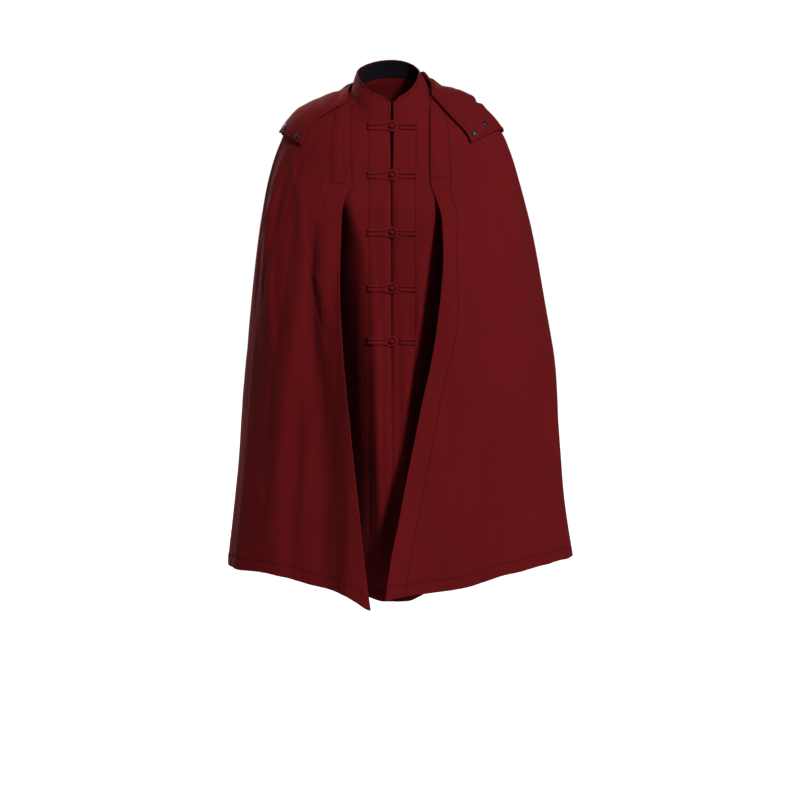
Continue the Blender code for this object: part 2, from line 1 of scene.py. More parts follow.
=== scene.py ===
"""The looks of the monk cloak: its wool, folds, sewing, cords and fasteners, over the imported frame.

Tables and sizes are in millimetres and degrees, and the meshes are made in metres. +Z is up,
the front faces -Y and the wearer's left is +X. A place on the cloak is an angle round the body
(0 at the front, 90 at the wearer's left, 180 at the back), a way down the cloth from the neck
seam, and a lift off the middle of the cloth. Angles, ways and lifts may be whole grids. Where a
table is in metres, its comment says so.
"""

import functools
import math
from collections import namedtuple

import bpy
import numpy as np
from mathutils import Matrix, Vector


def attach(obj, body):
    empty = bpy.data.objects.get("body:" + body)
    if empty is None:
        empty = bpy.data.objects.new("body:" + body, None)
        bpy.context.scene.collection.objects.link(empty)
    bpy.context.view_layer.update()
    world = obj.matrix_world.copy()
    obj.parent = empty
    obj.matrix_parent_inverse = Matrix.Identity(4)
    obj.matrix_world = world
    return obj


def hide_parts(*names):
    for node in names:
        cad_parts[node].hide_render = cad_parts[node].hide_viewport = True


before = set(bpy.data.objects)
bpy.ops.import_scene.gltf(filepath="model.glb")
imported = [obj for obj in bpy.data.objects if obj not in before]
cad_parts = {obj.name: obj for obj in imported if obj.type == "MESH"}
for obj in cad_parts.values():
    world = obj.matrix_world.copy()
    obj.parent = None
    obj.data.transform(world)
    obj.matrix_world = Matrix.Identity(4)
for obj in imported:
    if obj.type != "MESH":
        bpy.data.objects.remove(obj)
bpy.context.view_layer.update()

MM = 0.001


def table(kind, *rows):
    """Rows of values with their columns named."""
    return tuple(kind(*row) for row in rows)


# Cloth and seams, as the solids have them
WALL = 2.5
COLLAR_WALL = 1.6
LINING_WALL = 1.2
SEAM = 0.3
LENGTH = 1200.0
SQUARENESS = 0.25

# Level sections through the cloak, from the top of the collar to the hem. The z columns are the
# heights at the front, sides and back, right and left are the half widths, ahead and behind the
# depths, and lean says how the height runs between front and side.
Ring = namedtuple("Ring", "down front_z side_z back_z right left ahead behind lean")
RINGS = table(
    Ring,
    (-46, -8, 52, 80, 78, 61, 80, 62, 1.2),
    (-22, -31, 30, 61, 86, 75, 87, 68, 1.2),
    (0, -53, 8, 42, 92, 86, 92, 74, 1.2),
    (60, -105, -8, -5, 150, 155, 110, 108, 1.5),
    (145, -155, -50, -65, 222, 228, 126, 130, 1.9),
    (240, -205, -125, -140, 259, 266, 138, 146, 2.0),
    (340, -260, -230, -235, 288, 298, 164, 158, 2.0),
    (460, -355, -350, -345, 308, 327, 198, 172, 2.0),
    (600, -490, -490, -485, 324, 353, 216, 185, 2.0),
    (745, -640, -635, -625, 338, 375, 228, 200, 2.0),
    (900, -800, -792, -780, 350, 387, 235, 220, 2.0),
    (1050, -955, -945, -930, 368, 401, 247, 240, 2.0),
    (LENGTH, -1108, -1092, -1075, 387, 424, 259, 262, 2.0),
)

# The long folds of the solids. Each runs from an angle at its start to another at its end, grows
# until full, holds until fade, and pushes the cloth out, or in where push is negative.
Fold = namedtuple("Fold", "from_angle to_angle start full fade end width push")
FOLDS = table(
    Fold,
    (-69, -54, 200, 320, 560, 820, 5.5, 8),
    (-41, -47, 480, 640, 900, 1250, 6.5, 10),
    (-37, -24, 330, 470, 700, 1000, 5.0, -9),
    (-29, -27, 340, 450, 560, 740, 4.5, 6),
    (-65, -63, 760, 950, 1300, 1400, 7.0, 9),
    (-24, -20, 760, 950, 1300, 1400, 6.0, -5),
    (-11.5, -6.5, 330, 620, 1300, 1400, 9.5, 42),
    (85, 85, 40, 80, 140, 220, 28.0, -7),
    (62, 56, 190, 300, 560, 800, 9.0, 7),
    (74, 70, 500, 800, 1300, 1400, 8.0, 9),
    (40, 36, 700, 950, 1300, 1400, 8.0, 6),
    (103, 107, 320, 900, 1300, 1400, 9.0, 14),
    (129, 132, 400, 1000, 1300, 1400, 9.0, 26),
    (156, 157, 330, 900, 1300, 1400, 9.5, 22),
    (182, 182, 300, 950, 1300, 1400, 9.0, 30),
    (208, 207, 350, 1000, 1300, 1400, 9.5, 23),
    (234, 232, 320, 900, 1300, 1400, 9.0, 27),
    (258, 255, 400, 1000, 1300, 1400, 9.0, 15),
)

# Finer folds that only the looks have. They waver a little on their way down.
FINE_FOLDS = table(
    Fold,
    (-80, -77, 150, 260, 420, 640, 2.6, 2.6),
    (-72, -74, 420, 560, 760, 1000, 2.4, -2.6),
    (-60, -64, 230, 330, 470, 640, 2.4, -3.0),
    (-52, -51, 560, 700, 900, 1300, 2.4, -1.4),
    (-34, -33, 700, 850, 1300, 1400, 2.2, 2.0),
    (-37, -35, 480, 700, 1300, 1400, 6.0, -7.0),
    (-19, -14, 480, 700, 1300, 1400, 8.0, 6.0),
    (-48, -37, 200, 300, 420, 560, 2.6, 2.8),
    (-33, -30, 220, 300, 360, 480, 1.8, -0.8),
    (-47, -46, 330, 430, 640, 860, 6.0, -4.5),
    (-15, -13, 880, 1000, 1300, 1400, 1.8, 2.2),
    (24, 21, 300, 420, 640, 860, 3.0, 2.0),
    (50, 47, 260, 420, 760, 1100, 3.4, -2.0),
    (66, 64, 640, 860, 1300, 1400, 2.8, -3.0),
    (82, 81, 200, 340, 620, 900, 2.6, 2.6),
    (28, 27, 840, 1000, 1300, 1400, 3.0, -2.4),
    (57, 55, 880, 1040, 1300, 1400, 2.6, 2.2),
    (96, 97, 260, 420, 760, 1050, 2.4, -2.8),
    (117, 119, 420, 640, 1300, 1400, 2.8, -5.0),
    (136, 141, 520, 700, 900, 1200, 2.2, 3.0),
    (144, 145, 380, 620, 1300, 1400, 2.6, -5.0),
    (169, 170, 360, 600, 1300, 1400, 2.6, -5.5),
    (188, 191, 560, 720, 900, 1150, 2.0, 3.0),
    (195, 195, 380, 620, 1300, 1400, 2.6, -5.0),
    (221, 220, 380, 640, 1300, 1400, 2.8, -5.5),
    (245, 243, 400, 640, 1300, 1400, 2.8, -4.5),
    (264, 262, 280, 420, 800, 1100, 2.4, 3.0),
)

# Short creases, each from one place to another, tapering at both ends
Crease = namedtuple("Crease", "from_angle from_down to_angle to_down width push")
CREASES = table(
    Crease,
    (6, -9, 58, -30, 4.0, 1.0),
    (-8, -6, -50, -20, 4.5, 0.9),
    (12, 26, 40, 6, 3.6, 2.0),
    (-10, 22, -44, 4, 4.0, 0.9),
    (40, -14, 66, 2, 3.6, -0.8),
    (10, 56, 38, 32, 5.0, 1.8),
    (-9, 46, -40, 74, 5.0, 1.0),
    (8, 112, 30, 160, 5.0, 1.0),
    (-8, 118, -28, 170, 5.0, 0.9),
    (-64, 205, -44, 330, 7.0, 2.6),
    (-59, 270, -77, 485, 8.0, 3.6),
    (-36, 250, -27, 350, 6.0, 2.2),
    (-61, 430, -50, 740, 9.0, 3.0),
    (-66, 430, -57, 700, 8.0, -2.4),
    (-42, 425, -21, 690, 6.0, -2.5),
    (-34, 470, -19, 640, 7.0, 2.2),
    (-62, 965, -47, 1065, 6.0, 2.2),
    (56, 290, 78, 490, 8.0, 3.4),
    (54, 820, 71, 1110, 8.0, -2.2),
    (60, 200, 40, 320, 8.0, 2.0),
    (66, 190, 82, 430, 6.0, 2.4),
    (108, 240, 122, 420, 9.0, 3.0),
    (252, 240, 238, 420, 9.0, 3.0),
)

# The slow unevenness of hanging wool: waves with their size, their turns a degree round the body,
# the way down that stretches them, and where they start
Wave = namedtuple("Wave", "size around fall phase")
WAVES = table(
    Wave,
    (1.0, 0.31, 170.0, 0.0),
    (0.8, 0.53, -118.0, 1.7),
    (0.5, 0.97, 73.0, 0.6),
    (0.3, 1.7, -47.0, 2.9),
)
UNEVENNESS = 0.55

# How much lower the hem hangs than its ring, at angles round the body
HemDip = namedtuple("HemDip", "angle drop")
HEM_DIPS = table(
    HemDip,
    (-180, 0),
    (-95, -4),
    (-63, -30),
    (-46, -41),
    (-26, -29),
    (-15, -22),
    (-10.5, -9),
    (-6.5, 6),
    (-2.3, -12),
    (14, -21),
    (24, -29),
    (37, -49),
    (54, -52),
    (72, -45),
    (100, -10),
    (180, 0),
)
DIPS_START = 0.4 * LENGTH

# Free edges of the outer fronts, as distances from the middle
Edge = namedtuple("Edge", "down right left")
EDGES = table(
    Edge,
    (0, 91, 85),
    (60, 93, 84),
    (145, 92, 84),
    (240, 88, 86),
    (300, 104, 98),
    (360, 110, 109),
    (460, 110, 112),
    (540, 108, 107),
    (620, 102, 98),
    (690, 97, 86),
    (780, 88, 66),
    (860, 80, 50),
    (950, 71, 31),
    (1040, 62, 13),
    (1120, 54, -4),
    (LENGTH, 44, -16),
)
SLIT_TOP = {"right": 250.0, "left": 225.0}
UNDERLAP = 18.0
LEAST_LAP_ANGLE = 3.0
LAP_SETTLES = 0.4
LAP_GAP = 0.7
SIDE_SEAM = {"neck": 100.0, "hem": 90.0}

# Below the slit each inner front hangs free: flat from the middle to its ridge, then curving
# back to its side edge.
Hang = namedtuple("Hang", "down z middle_y right_ridge left_ridge side back curve")
HANGS = table(
    Hang,
    (200, -190, -140, 90, 82, 116, 28, 1.6),
    (340, -262, -156, 83, 77, 120, 54, 1.6),
    (460, -356, -152, 54, 68, 120, 70, 1.7),
    (600, -492, -150, 43, 58, 114, 78, 1.5),
    (745, -645, -163, 34, 36, 102, 90, 1.3),
    (900, -808, -188, 27, 24, 96, 98, 1.25),
    (1050, -968, -182, 24, 26, 100, 94, 1.25),
    (LENGTH, -1135, -168, 28, 45, 108, 78, 1.25),
)
HANG_BLEND = 90.0
INNER_RISE = 26.0
TROUGH_DEPTH = 4.0
TROUGH_REACH = 9.0

# Soft folds of the inner fronts below the slit, at distances from the middle
InnerFold = namedtuple("InnerFold", "from_x to_x start full fade end width push")
INNER_FOLDS = {
    "right": table(
        InnerFold,
        (40, 24, 380, 520, 900, 1250, 7, 3.5),
        (22, 12, 520, 680, 1100, 1400, 6, -2.6),
        (74, 62, 420, 620, 1300, 1400, 9, 2.0),
        (92, 88, 600, 800, 1300, 1400, 7, -2.0),
        (38, 36, 260, 380, 1300, 1400, 14, -2.6),
    ),
    "left": table(
        InnerFold,
        (12, 20, 480, 640, 900, 1250, 6, -3.0),
        (34, 40, 620, 800, 1300, 1400, 8, 4.0),
        (62, 70, 420, 620, 1300, 1400, 9, 4.5),
        (90, 96, 600, 800, 1300, 1400, 7, -4.0),
    ),
}

# Half the gap between the two fronts and the two ends of the collar
Opening = namedtuple("Opening", "down half_gap")
OPENINGS = table(
    Opening,
    (-46, 4.0),
    (0, 3.6),
    (60, 3.0),
    (130, 2.2),
    (200, 1.4),
    (460, 1.2),
    (745, 0.7),
    (LENGTH, 0.5),
)
CLOSED_AT = 200.0

# Collar
CORNER_DROP = 12.0
CORNER_REACH = 10.0
LINING_INSET = 1.5

# The hood lies thrown back. Along each chin flap, from its root (0) to its end (1): the angle,
# way down and lift of its lower edge, the way down and lift of its ridge over the shoulder, and
# those of the hood at the middle of the back. HOOD_ARC is the cloth that spans one degree.
Flap = namedtuple("Flap", "along low_angle low_down low_lift ridge_down ridge_lift back_down back_lift")
FLAPS = {
    "right": table(
        Flap,
        (0.00, 65, 24, 5.5, -6, 8, 0, 26),
        (0.25, 62, 62, 7.5, 52, 7, 62, 37),
        (0.50, 59.5, 104, 7.5, 100, 7, 128, 40),
        (0.75, 57, 144, 7.5, 148, 7.5, 200, 37),
        (1.00, 54.6, 186, 7.5, 198, 12, 268, 27),
    ),
    "left": table(
        Flap,
        (0.00, 72, 8, 5.0, -30, 9, 0, 26),
        (0.25, 58, 45, 8.5, 30, 17, 62, 37),
        (0.50, 52.5, 80, 8.5, 84, 18, 128, 40),
        (0.65, 50.5, 103, 8.5, 108, 10, 170, 39),
        (0.80, 49, 127, 8.5, 140, 7, 214, 35),
        (1.00, 47.7, 159, 8.5, 194, 7, 268, 27),
    ),
}
RIDGE_ANGLE = 94.0
FLAP_TOP = 100.0
FLAP_MIDDLE = 100.0
FLAP_LENGTH = 190.0
FLAP_WIDTH = 150.0
HOOD_LENGTH = 260.0
HOOD_ARC = 2.4
HOOD_UNDER_LIFT = 4.2
HOOD_UNDER_TOP = 6.0

# Folds of the thrown-back hood, hanging between the shoulders: places along it at the shoulder
# and at the middle of the back
Swag = namedtuple("Swag", "shoulder middle width push")
SWAGS = table(
    Swag,
    (0.10, 0.24, 0.05, 4.0),
    (0.22, 0.38, 0.035, -3.5),
    (0.32, 0.52, 0.06, 5.0),
    (0.48, 0.66, 0.04, -4.0),
    (0.62, 0.80, 0.06, 4.5),
    (0.80, 0.92, 0.04, -2.5),
)

# Short creases of the chin flaps, across them
FlapCrease = namedtuple("FlapCrease", "along from_angle to_angle width push")
FLAP_CREASES = {
    "right": table(
        FlapCrease,
        (0.18, 70, 96, 0.050, 1.8),
        (0.34, 66, 92, 0.050, -1.6),
        (0.62, 68, 96, 0.060, 1.2),
    ),
    "left": table(
        FlapCrease,
        (0.60, 74, 98, 0.030, -4.0),
        (0.68, 78, 98, 0.035, 2.5),
        (0.22, 66, 96, 0.050, 1.5),
        (0.40, 60, 84, 0.060, -1.2),
    ),
}

# Sewing: distances of the sewn lines from the edges beside them
Facing = namedtuple("Facing", "down right left")
FACINGS = table(
    Facing,
    (0, 54, 50),
    (80, 52, 48),
    (150, 50, 46),
    (230, 47, 43),
    (300, 47, 34),
    (365, 47, 34),
    (450, 47, 28),
    (620, 47, 43),
    (745, 47, 38),
    (885, 47, 41),
    (LENGTH, 47, 48),
)
FACING_TOP = 24.0
BAR_ABOVE_SLIT = 6.0
BAR_SLOPE = 0.25
BAR_REACH = 50.0

# Soft folds down the wearer's right strip, at distances from its free edge, and the ways down
# between which they grow and where they start to fade
StripFold = namedtuple("StripFold", "near width push")
STRIP_FOLDS = table(
    StripFold,
    (29, 6.0, 1.3),
    (17, 4.0, -1.5),
    (8, 4.0, 0.9),
)
STRIP_START = 30.0
STRIP_FULL = 80.0
STRIP_FADE = 170.0

# Other sewn lines, how they press and gather the cloth and darken it with painted shade, and their stitches
INNER_FACING = 50.0
HEM = 24.0
HEM_LINE = LENGTH - HEM
FLAP_STITCH = 7.0
COLLAR_STITCH = 5.0
GROOVE_DEPTH = 0.8
GROOVE_REACH = 1.6
PRESSED = 0.8
MEETING_FADES = (700.0, 900.0)
PUFF = 0.7
PUCKER = 0.4
PUCKER_REACH = 10.0
RIM_BULGE = 0.38
INNER_RIM_GROWS = (620.0, 840.0)
STITCH_PITCH = 4.4
STITCH_LENGTH = 3.0
STITCH_RADIUS = 0.42
STITCH_LIFT = 0.25
STITCH_SIDES = 6
STITCH_PROFILE = ((-0.78, 0.62), (-0.35, 1.0), (0.35, 1.0), (0.78, 0.62))
STITCH_DIP = -0.35

# The cut of each sheet as it shows, in metres and square metres, how it is held, and the piece
# it lies on
Sheet = namedtuple("Sheet", "width length held rests_on area")
SHEETS = {
    "back": Sheet(1.36, 1.20, "hung", "collar", 1.06),
    "front": Sheet(0.62, 1.20, "hung", "collar", 0.50),
    "inner_front": Sheet(0.17, 1.20, "hung", "collar", 0.15),
    "collar": Sheet(0.53, 0.055, "hung", "back", 0.024),
    "collar_lining": Sheet(0.51, 0.053, "hung", "collar", 0.023),
    "hood": Sheet(0.30, 0.62, "draped", "back", 0.14),
    "hood_flap": Sheet(0.17, 0.21, "draped", "front", 0.025),
}

# Frogs: a doubled cord on each front, ending in a loop on the right and a knotted button on the
# left. Each row is a place along half of the cord: across from the knot, out from the frog's
# level line, up off the middle of the cloth, and the cord's own radius.
FROG_HEIGHTS = (-70.0, -176.0, -300.0, -423.0, -541.0)
CORD_RADIUS = 4.0
CORD_SPREAD = 4.5
CORD_FLATNESS = 0.62
CORD_SINK = 1.6
CORD_STEPS = 5
CORD_SIDES = 14
BOW_RADIUS = 3.2
KNOT_RADIUS = 5.9
KNOT_FACES = (0.5, -1.0, 0.25)
KNOT_FILLING = KNOT_RADIUS - 1.9
STRAND_RADIUS = 1.75
KNOT_LIFT = WALL / 2.0 + 0.9 + KNOT_RADIUS
NECK_RADIUS = 1.5
LOOP_RADIUS = KNOT_RADIUS + 0.6 + BOW_RADIUS
CORD_LIFT = 4.4
LOOP_RISE = 4.2
LOOP_ANGLES = (125, 100, 75, 50, 25, 4)
Cord = namedtuple("Cord", "x spread lift radius")
LOOP_CORD = table(
    Cord,
    (-54, CORD_SPREAD, 5.0, CORD_RADIUS),
    (-48, CORD_SPREAD, 5.2, CORD_RADIUS),
    (-42, CORD_SPREAD, 5.0, CORD_RADIUS),
    (-29, 4.6, CORD_LIFT, CORD_RADIUS),
    (-20, 5.6, CORD_LIFT, 3.8),
    (-12.5, 7.0, CORD_LIFT, 3.4),
)
BUTTON_CORD = table(
    Cord,
    (54, CORD_SPREAD, 5.6, CORD_RADIUS),
    (48, CORD_SPREAD, 5.6, CORD_RADIUS),
    (42, CORD_SPREAD, 5.2, CORD_RADIUS),
    (31, CORD_SPREAD, 4.7, CORD_RADIUS),
    (21, 4.2, CORD_LIFT, 3.7),
    (15.5, 3.1, 4.1, 2.5),
    (11.5, 2.2, 3.8, 1.8),
    (8.5, 2.0, 3.8, 1.6),
    (4.0, 1.8, 5.2, NECK_RADIUS),
)

# Bars of thread over the outer ends of the cords
Tack = namedtuple("Tack", "side x lift")
TACKS = table(
    Tack,
    ("right", -51.0, 5.4),
    ("left", 51.0, 5.9),
)
TACK_HALF_LENGTH = 8.2
TACK_HALF_GAP = 0.6

# Press fasteners: shares along and across the chin flap, and the cap's profile as shares of its
# radius and heights
SNAP_RADIUS = 6.8
SNAP_LIFT = 0.3
SNAPS = {
    "right": ((0.93, 0.11), (0.91, 0.52)),
    "left": ((0.89, 0.085), (0.86, 0.31)),
}
SNAP_PROFILE = (
    (0.94, 0.0), (1.0, 0.3), (1.0, 0.8), (0.95, 1.15), (0.86, 1.25), (0.78, 1.1), (0.72, 1.12),
    (0.66, 1.45), (0.55, 1.8), (0.38, 2.05), (0.18, 2.18), (0.0, 2.22),
)

# How far the fronts fall for each millimetre down the cloth, for finding a height on them
USUAL_FALL = 0.8
PLACING_ROUNDS = 6

# Textures of the cloth, as scales over metres, the depths of its relief in metres, how much paler
# or darker its flecks are, and how dark the painted shade along its sewn lines, edges and gaps is
SHADE_SCALE = 7.0
FLECK_SCALE = 420.0
FIBRE_SCALE = 1300.0
FELT_SCALE = 150.0
TWILL_SCALE = 190.0
TWILL_ANGLE = math.radians(62.0)
WEAVE_DEPTH = 0.0004
FIBRE_DEPTH = 0.0005
FELT_DEPTH = 0.0012
FLECK_SHADES = (0.86, 1.13)
FLECK_ROUGHNESS = (0.82, 1.0)
PAINTED_SEAM_SHADE = 0.72

# Mesh spacing
ROW_STEP = 9.0
BACK_COLUMNS = 132
FRONT_COLUMNS = 58
COLLAR_COLUMNS = 120
HOOD_STEP = 5.76
EDGE_OFFSETS = (0.0, 0.9, 2.2, 4.5, 8.0)
LINE_OFFSETS = (-2.6, -1.2, 0.0, 1.2, 2.6)

# The camera, as the photograph was taken
CAMERA_PLACE = (9.0, -3600.0, -100.0)
CAMERA_TILT = 9.3
PIXELS = 792.0
FOCAL_PIXELS = 1565.0
SENSOR = 36.0

# Floor and lamps. A lamp's place, the height that it aims at and its size are in metres.
WHITE = (1.0, 1.0, 1.0, 1.0)
WORLD_LIGHT = 0.12
FLOOR_Z = -1470.0
FLOOR_HALF = 14000.0
Lamp = namedtuple("Lamp", "name place aim_z size power colour")
LAMPS = table(
    Lamp,
    ("key", (3.2, -5.4, 2.9), -0.5, 1.1, 385.0, (1.0, 0.99, 0.98)),
    ("back", (-1.6, 3.0, 2.2), -0.4, 1.8, 110.0, (1.0, 1.0, 1.0)),
    ("side", (-3.0, 2.1, 0.9), -0.6, 1.5, 22.0, (1.0, 1.0, 1.0)),
)


def blend(a, b, share):
    return a + (b - a) * share


def ease(value, low, high):
    """0 below low, 1 above high, and a smooth rise between them."""
    share = np.clip((value - low) / (high - low), 0.0, 1.0)
    return share * share * (3.0 - 2.0 * share)


def held(value, start, full, fade, end):
    """0 outside start and end, 1 between full and fade, and smooth between them."""
    return ease(value, start, full) * (1.0 - ease(value, fade, end))


def bell(away, width):
    """1 in the middle, and falling to 0 beyond a width on both sides."""
    return np.exp(-(away / width) ** 2)


def unit(vectors):
    return vectors / np.maximum(np.linalg.norm(vectors, axis=-1, keepdims=True), 1e-12)


@functools.lru_cache(maxsize=None)
def curve_through(rows):
    """A table's first column, its other columns and their slopes at each row."""
    values = np.array(rows, float)
    keys, columns = values[:, 0], values[:, 1:]
    slopes = np.diff(columns, axis=0) / np.diff(keys)[:, None]
    before, after = slopes[:-1], slopes[1:]
    turning = before * after <= 0
    middle = np.where(turning, 0.0, 2.0 * before * after / np.where(turning, 1.0, before + after))
    return keys, columns, np.concatenate([slopes[:1], middle, slopes[-1:]])


def reading(rows, at):
    """The row of a table at places between its rows, on a smooth curve through them."""
    keys, columns, bends = curve_through(rows)
    at = np.clip(np.asarray(at, float), keys[0], keys[-1])
    index = np.clip(np.searchsorted(keys, at) - 1, 0, len(rows) - 2)
    span = (keys[index + 1] - keys[index])[..., None]
    t = (at - keys[index])[..., None] / span
    leave, reach = bends[index] * span, bends[index + 1] * span
    low = columns[index]
    rise = columns[index + 1] - low
    values = low + t * leave + t**2 * (3 * rise - 2 * leave - reach) + t**3 * (leave + reach - 2 * rise)
    return type(rows[0])(at, *np.moveaxis(values, -1, 0))


def turned_angle(angle):
    """The same angle between -180 and 180."""
    return (angle + 180.0) % 360.0 - 180.0


def fold_push(folds, angle, down, waver):
    """How far a table's folds push the cloth out."""
    push = 0.0
    for fold in folds:
        strength = held(down, fold.start, fold.full, fold.fade, fold.end)
        middle = blend(fold.from_angle, fold.to_angle, ease(down, fold.start, fold.end))
        middle = middle + waver * np.sin(down / 95.0 + fold.from_angle)
        strength = strength * (1.0 + 0.35 * waver * np.sin(down / 61.0 + 2.0 * fold.from_angle))
        push = push + fold.push * strength * bell(turned_angle(angle - middle), fold.width)
    return push


@functools.lru_cache(maxsize=None)
def crease_line(crease):
    """A crease's reach per degree round the body, its length, and its direction."""
    ring = reading(RINGS, (crease.from_down + crease.to_down) / 2.0)
    reach = math.radians(1.0) * float(ring.ahead + ring.right) / 2.0
    across = (crease.to_angle - crease.from_angle) * reach
    downward = crease.to_down - crease.from_down
    length = math.hypot(across, downward)
    return reach, length, across / length, downward / length


def crease_push(angle, down):
    """How far the short creases push the cloth out."""
    push = 0.0
    for crease in CREASES:
        reach, length, across, downward = crease_line(crease)
        x = turned_angle(angle - crease.from_angle) * reach
        y = down - crease.from_down
        share = (x * across + y * downward) / length
        away = x * downward - y * across
        push = push + crease.push * held(share, 0.0, 0.3, 0.6, 1.0) * bell(away, crease.width)
    return push


def unevenness(angle, down):
    """The slow unevenness of the cloth, growing below the shoulders."""
    grown = 0.35 + 0.65 * ease(down, 60.0, 420.0)
    waves = [wave.size * np.sin(wave.around * angle + down / wave.fall + wave.phase) for wave in WAVES]
    return UNEVENNESS * grown * sum(waves)


def cloth_middle(angle, down):
    """Points on the middle of the cloak's cloth."""
    ring = reading(RINGS, down)
    turn = np.radians(angle)
    sideways, forward = np.sin(turn), np.cos(turn)
    half = np.where(sideways > 0, ring.left, ring.right)
    depth = np.where(forward > 0, ring.ahead, ring.behind)
    end_z = np.where(forward > 0, ring.front_z, ring.back_z)
    push = fold_push(FOLDS, angle, down, 0.0) + fold_push(FINE_FOLDS, angle, down, 0.7)
    push = push + crease_push(angle, down) + unevenness(angle, down)
    flat = np.hypot(sideways * depth, forward * half)
    dip = reading(HEM_DIPS, turned_angle(angle)).drop * ease(down, DIPS_START, LENGTH)
    return np.stack(np.broadcast_arrays(
        half * sideways + push * sideways * depth / flat,
        -depth * forward * (1.0 + SQUARENESS * sideways**2) - push * forward * half / flat,
        blend(ring.side_z, end_z, np.abs(forward) ** ring.lean) - dip,
    ), axis=-1)


def cloth_normal(angle, down):
    """The outward direction at points of the cloak."""
    around = cloth_middle(angle + 0.2, down) - cloth_middle(angle - 0.2, down)
    downward = cloth_middle(angle, down + 0.5) - cloth_middle(angle, down - 0.5)
    return unit(np.cross(downward, around))


def cloth_place(angle, down, lift):
    return cloth_middle(angle, down) + cloth_normal(angle, down) * np.asarray(lift)[..., None]


def sign_of(side):
    return 1.0 if side == "left" else -1.0


def half_width(side, down):
    return getattr(reading(RINGS, down), side)


def angle_at_x(side, x, down):
    """The angle, counted from the front, at which the cloak is this far from the middle."""
    share = np.clip(x / half_width(side, down), -1.0, math.sin(math.radians(86.0)))
    return np.degrees(np.arcsin(share))


def edge_x(side, down):
    return getattr(reading(EDGES, down), side)


def side_seam_angle(down):
    return blend(SIDE_SEAM["neck"], SIDE_SEAM["hem"], ease(down, 0.0, LENGTH))


def angle_across(gap, down):
    """The angle that spans a gap along the cloth near the side seam."""
    step = cloth_middle(91.0, down) - cloth_middle(90.0, down)
    return gap / np.linalg.norm(step, axis=-1)


def lap_angles(side, down):
    """Angles between which an outer front lies over its inner front."""
    edge = angle_at_x(side, edge_x(side, down), down)
    under = angle_at_x(side, edge_x(side, down) + UNDERLAP, down)
    return edge, np.maximum(under, edge + LEAST_LAP_ANGLE)


def front_lift(side, angle, down):
    """How far an outer front stands off the body's surface: a cloth higher where it laps."""
    under = lap_angles(side, down)[1]
    share = (angle - under) / (side_seam_angle(down) - under)
    return (WALL + LAP_GAP) * (1.0 - ease(share, 0.0, LAP_SETTLES))


def stations(start, end, step, lines=()):
    """Places from start to end, closer together at both ends and round each sewn line."""
    count = max(int(round((end - start) / step)), 1)
    kept = [start + offset for offset in EDGE_OFFSETS] + [end - offset for offset in EDGE_OFFSETS]
    kept += [line + offset for line in lines for offset in LINE_OFFSETS]
    places = list(kept)
    for place in np.linspace(start, end, count + 1):
        if min(abs(place - other) for other in kept) > 0.35 * step:
            places.append(place)
    return np.array(sorted(set(places)))


def columns_round(side, start, end, down, near, count):
    """Angles at set distances from a row's first end, and evenly from there to its other end."""
    shares = np.linspace(0.0, 1.0, 201)
    fine = start + (end - start) * shares
    points = cloth_middle(sign_of(side) * fine, down)
    steps = np.linalg.norm(np.diff(points, axis=1), axis=2)
    lengths = np.concatenate([np.zeros((len(steps), 1)), np.cumsum(steps, axis=1)], axis=1)
    total = lengths[:, -1:]
    far = np.array(EDGE_OFFSETS[::-1])
    near = near + 0.0 * down
    squeeze = np.minimum(1.0, 0.75 * total / (near[:, -1:] + far[0]))
    first, last = near * squeeze, total - far * squeeze
    between = first[:, -1:] + (last[:, :1] - first[:, -1:]) * np.linspace(0.0, 1.0, count + 2)[1:-1]
    distances = np.concatenate([first, between, last], axis=1)
    angles = np.array([np.interp(d, l, f) for d, l, f in zip(distances, lengths, fine)])
    return angles, distances / squeeze, (total - distances) / squeeze


def groove(distance):
    """How deep a sewn line presses the cloth in, at a distance from it; the same share sets its painted
    shade.
    """
    return bell(distance, GROOVE_REACH)


def pucker(distance, along, phase):
    """Small uneven gathers beside a sewn line."""
    waves = np.sin(along / 3.1 + phase) + 0.7 * np.sin(along / 4.9 + 2.3 * phase + 1.0)
    return PUCKER * waves * bell(distance, PUCKER_REACH)


# Meshes

def grid_faces(rows, columns):
    index = np.arange(rows * columns).reshape(rows, columns)
    corners = (index[:-1, :-1], index[:-1, 1:], index[1:, 1:], index[1:, :-1])
    return np.stack([corner.ravel() for corner in corners], axis=1)


def band_faces(loops, next_loops):
    """Four-sided faces between closed loops of points and the loops beside them."""
    corners = (np.roll(loops, -1, axis=-1), loops, next_loops, np.roll(next_loops, -1, axis=-1))
    return np.stack(corners, axis=-1).reshape(-1, 4)


def fan_faces(loop, tip):
    """Triangles from a closed loop of points to one point."""
    return np.stack([loop, np.roll(loop, -1), np.full(len(loop), tip)], axis=1)


def border_of(rows, columns):
    """Indices round the border of a grid, in order."""
    index = np.arange(rows * columns).reshape(rows, columns)
    return np.concatenate([index[0], index[1:, -1], index[-1, -2::-1], index[-2:0:-1, 0]])


def turns(count):
    """Angles round a circle, in radians."""
    return np.arange(count) * 2.0 * math.pi / count


def nearest(places, place):
    """The index of the place nearest to another."""
    return int(np.argmin(np.abs(places - place)))


def make_object(name, points, groups, finish, uv=None, seam=None):
    """A mesh object from points in millimetres and groups of faces, riding on the body."""
    mesh = bpy.data.meshes.new(name)
    mesh.from_pydata((points * MM).tolist(), [], [face for group in groups for face in group.tolist()])
    mesh.validate()
    if uv is not None:
        corner = np.empty(len(mesh.loops), np.int32)
        mesh.loops.foreach_get("vertex_index", corner)
        mesh.uv_layers.new(name="cloth").data.foreach_set("uv", (uv[corner] * MM).ravel())
        # The seam attribute carries the painted shade of sewn lines, edges and gaps to the cloth material
        mesh.attributes.new("seam", "FLOAT", "POINT").data.foreach_set("value", seam)
    mesh.shade_smooth()
    mesh.materials.append(finish)
    made = bpy.data.objects.new(name, mesh)
    bpy.context.scene.collection.objects.link(made)
    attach(made, "root")
    return made


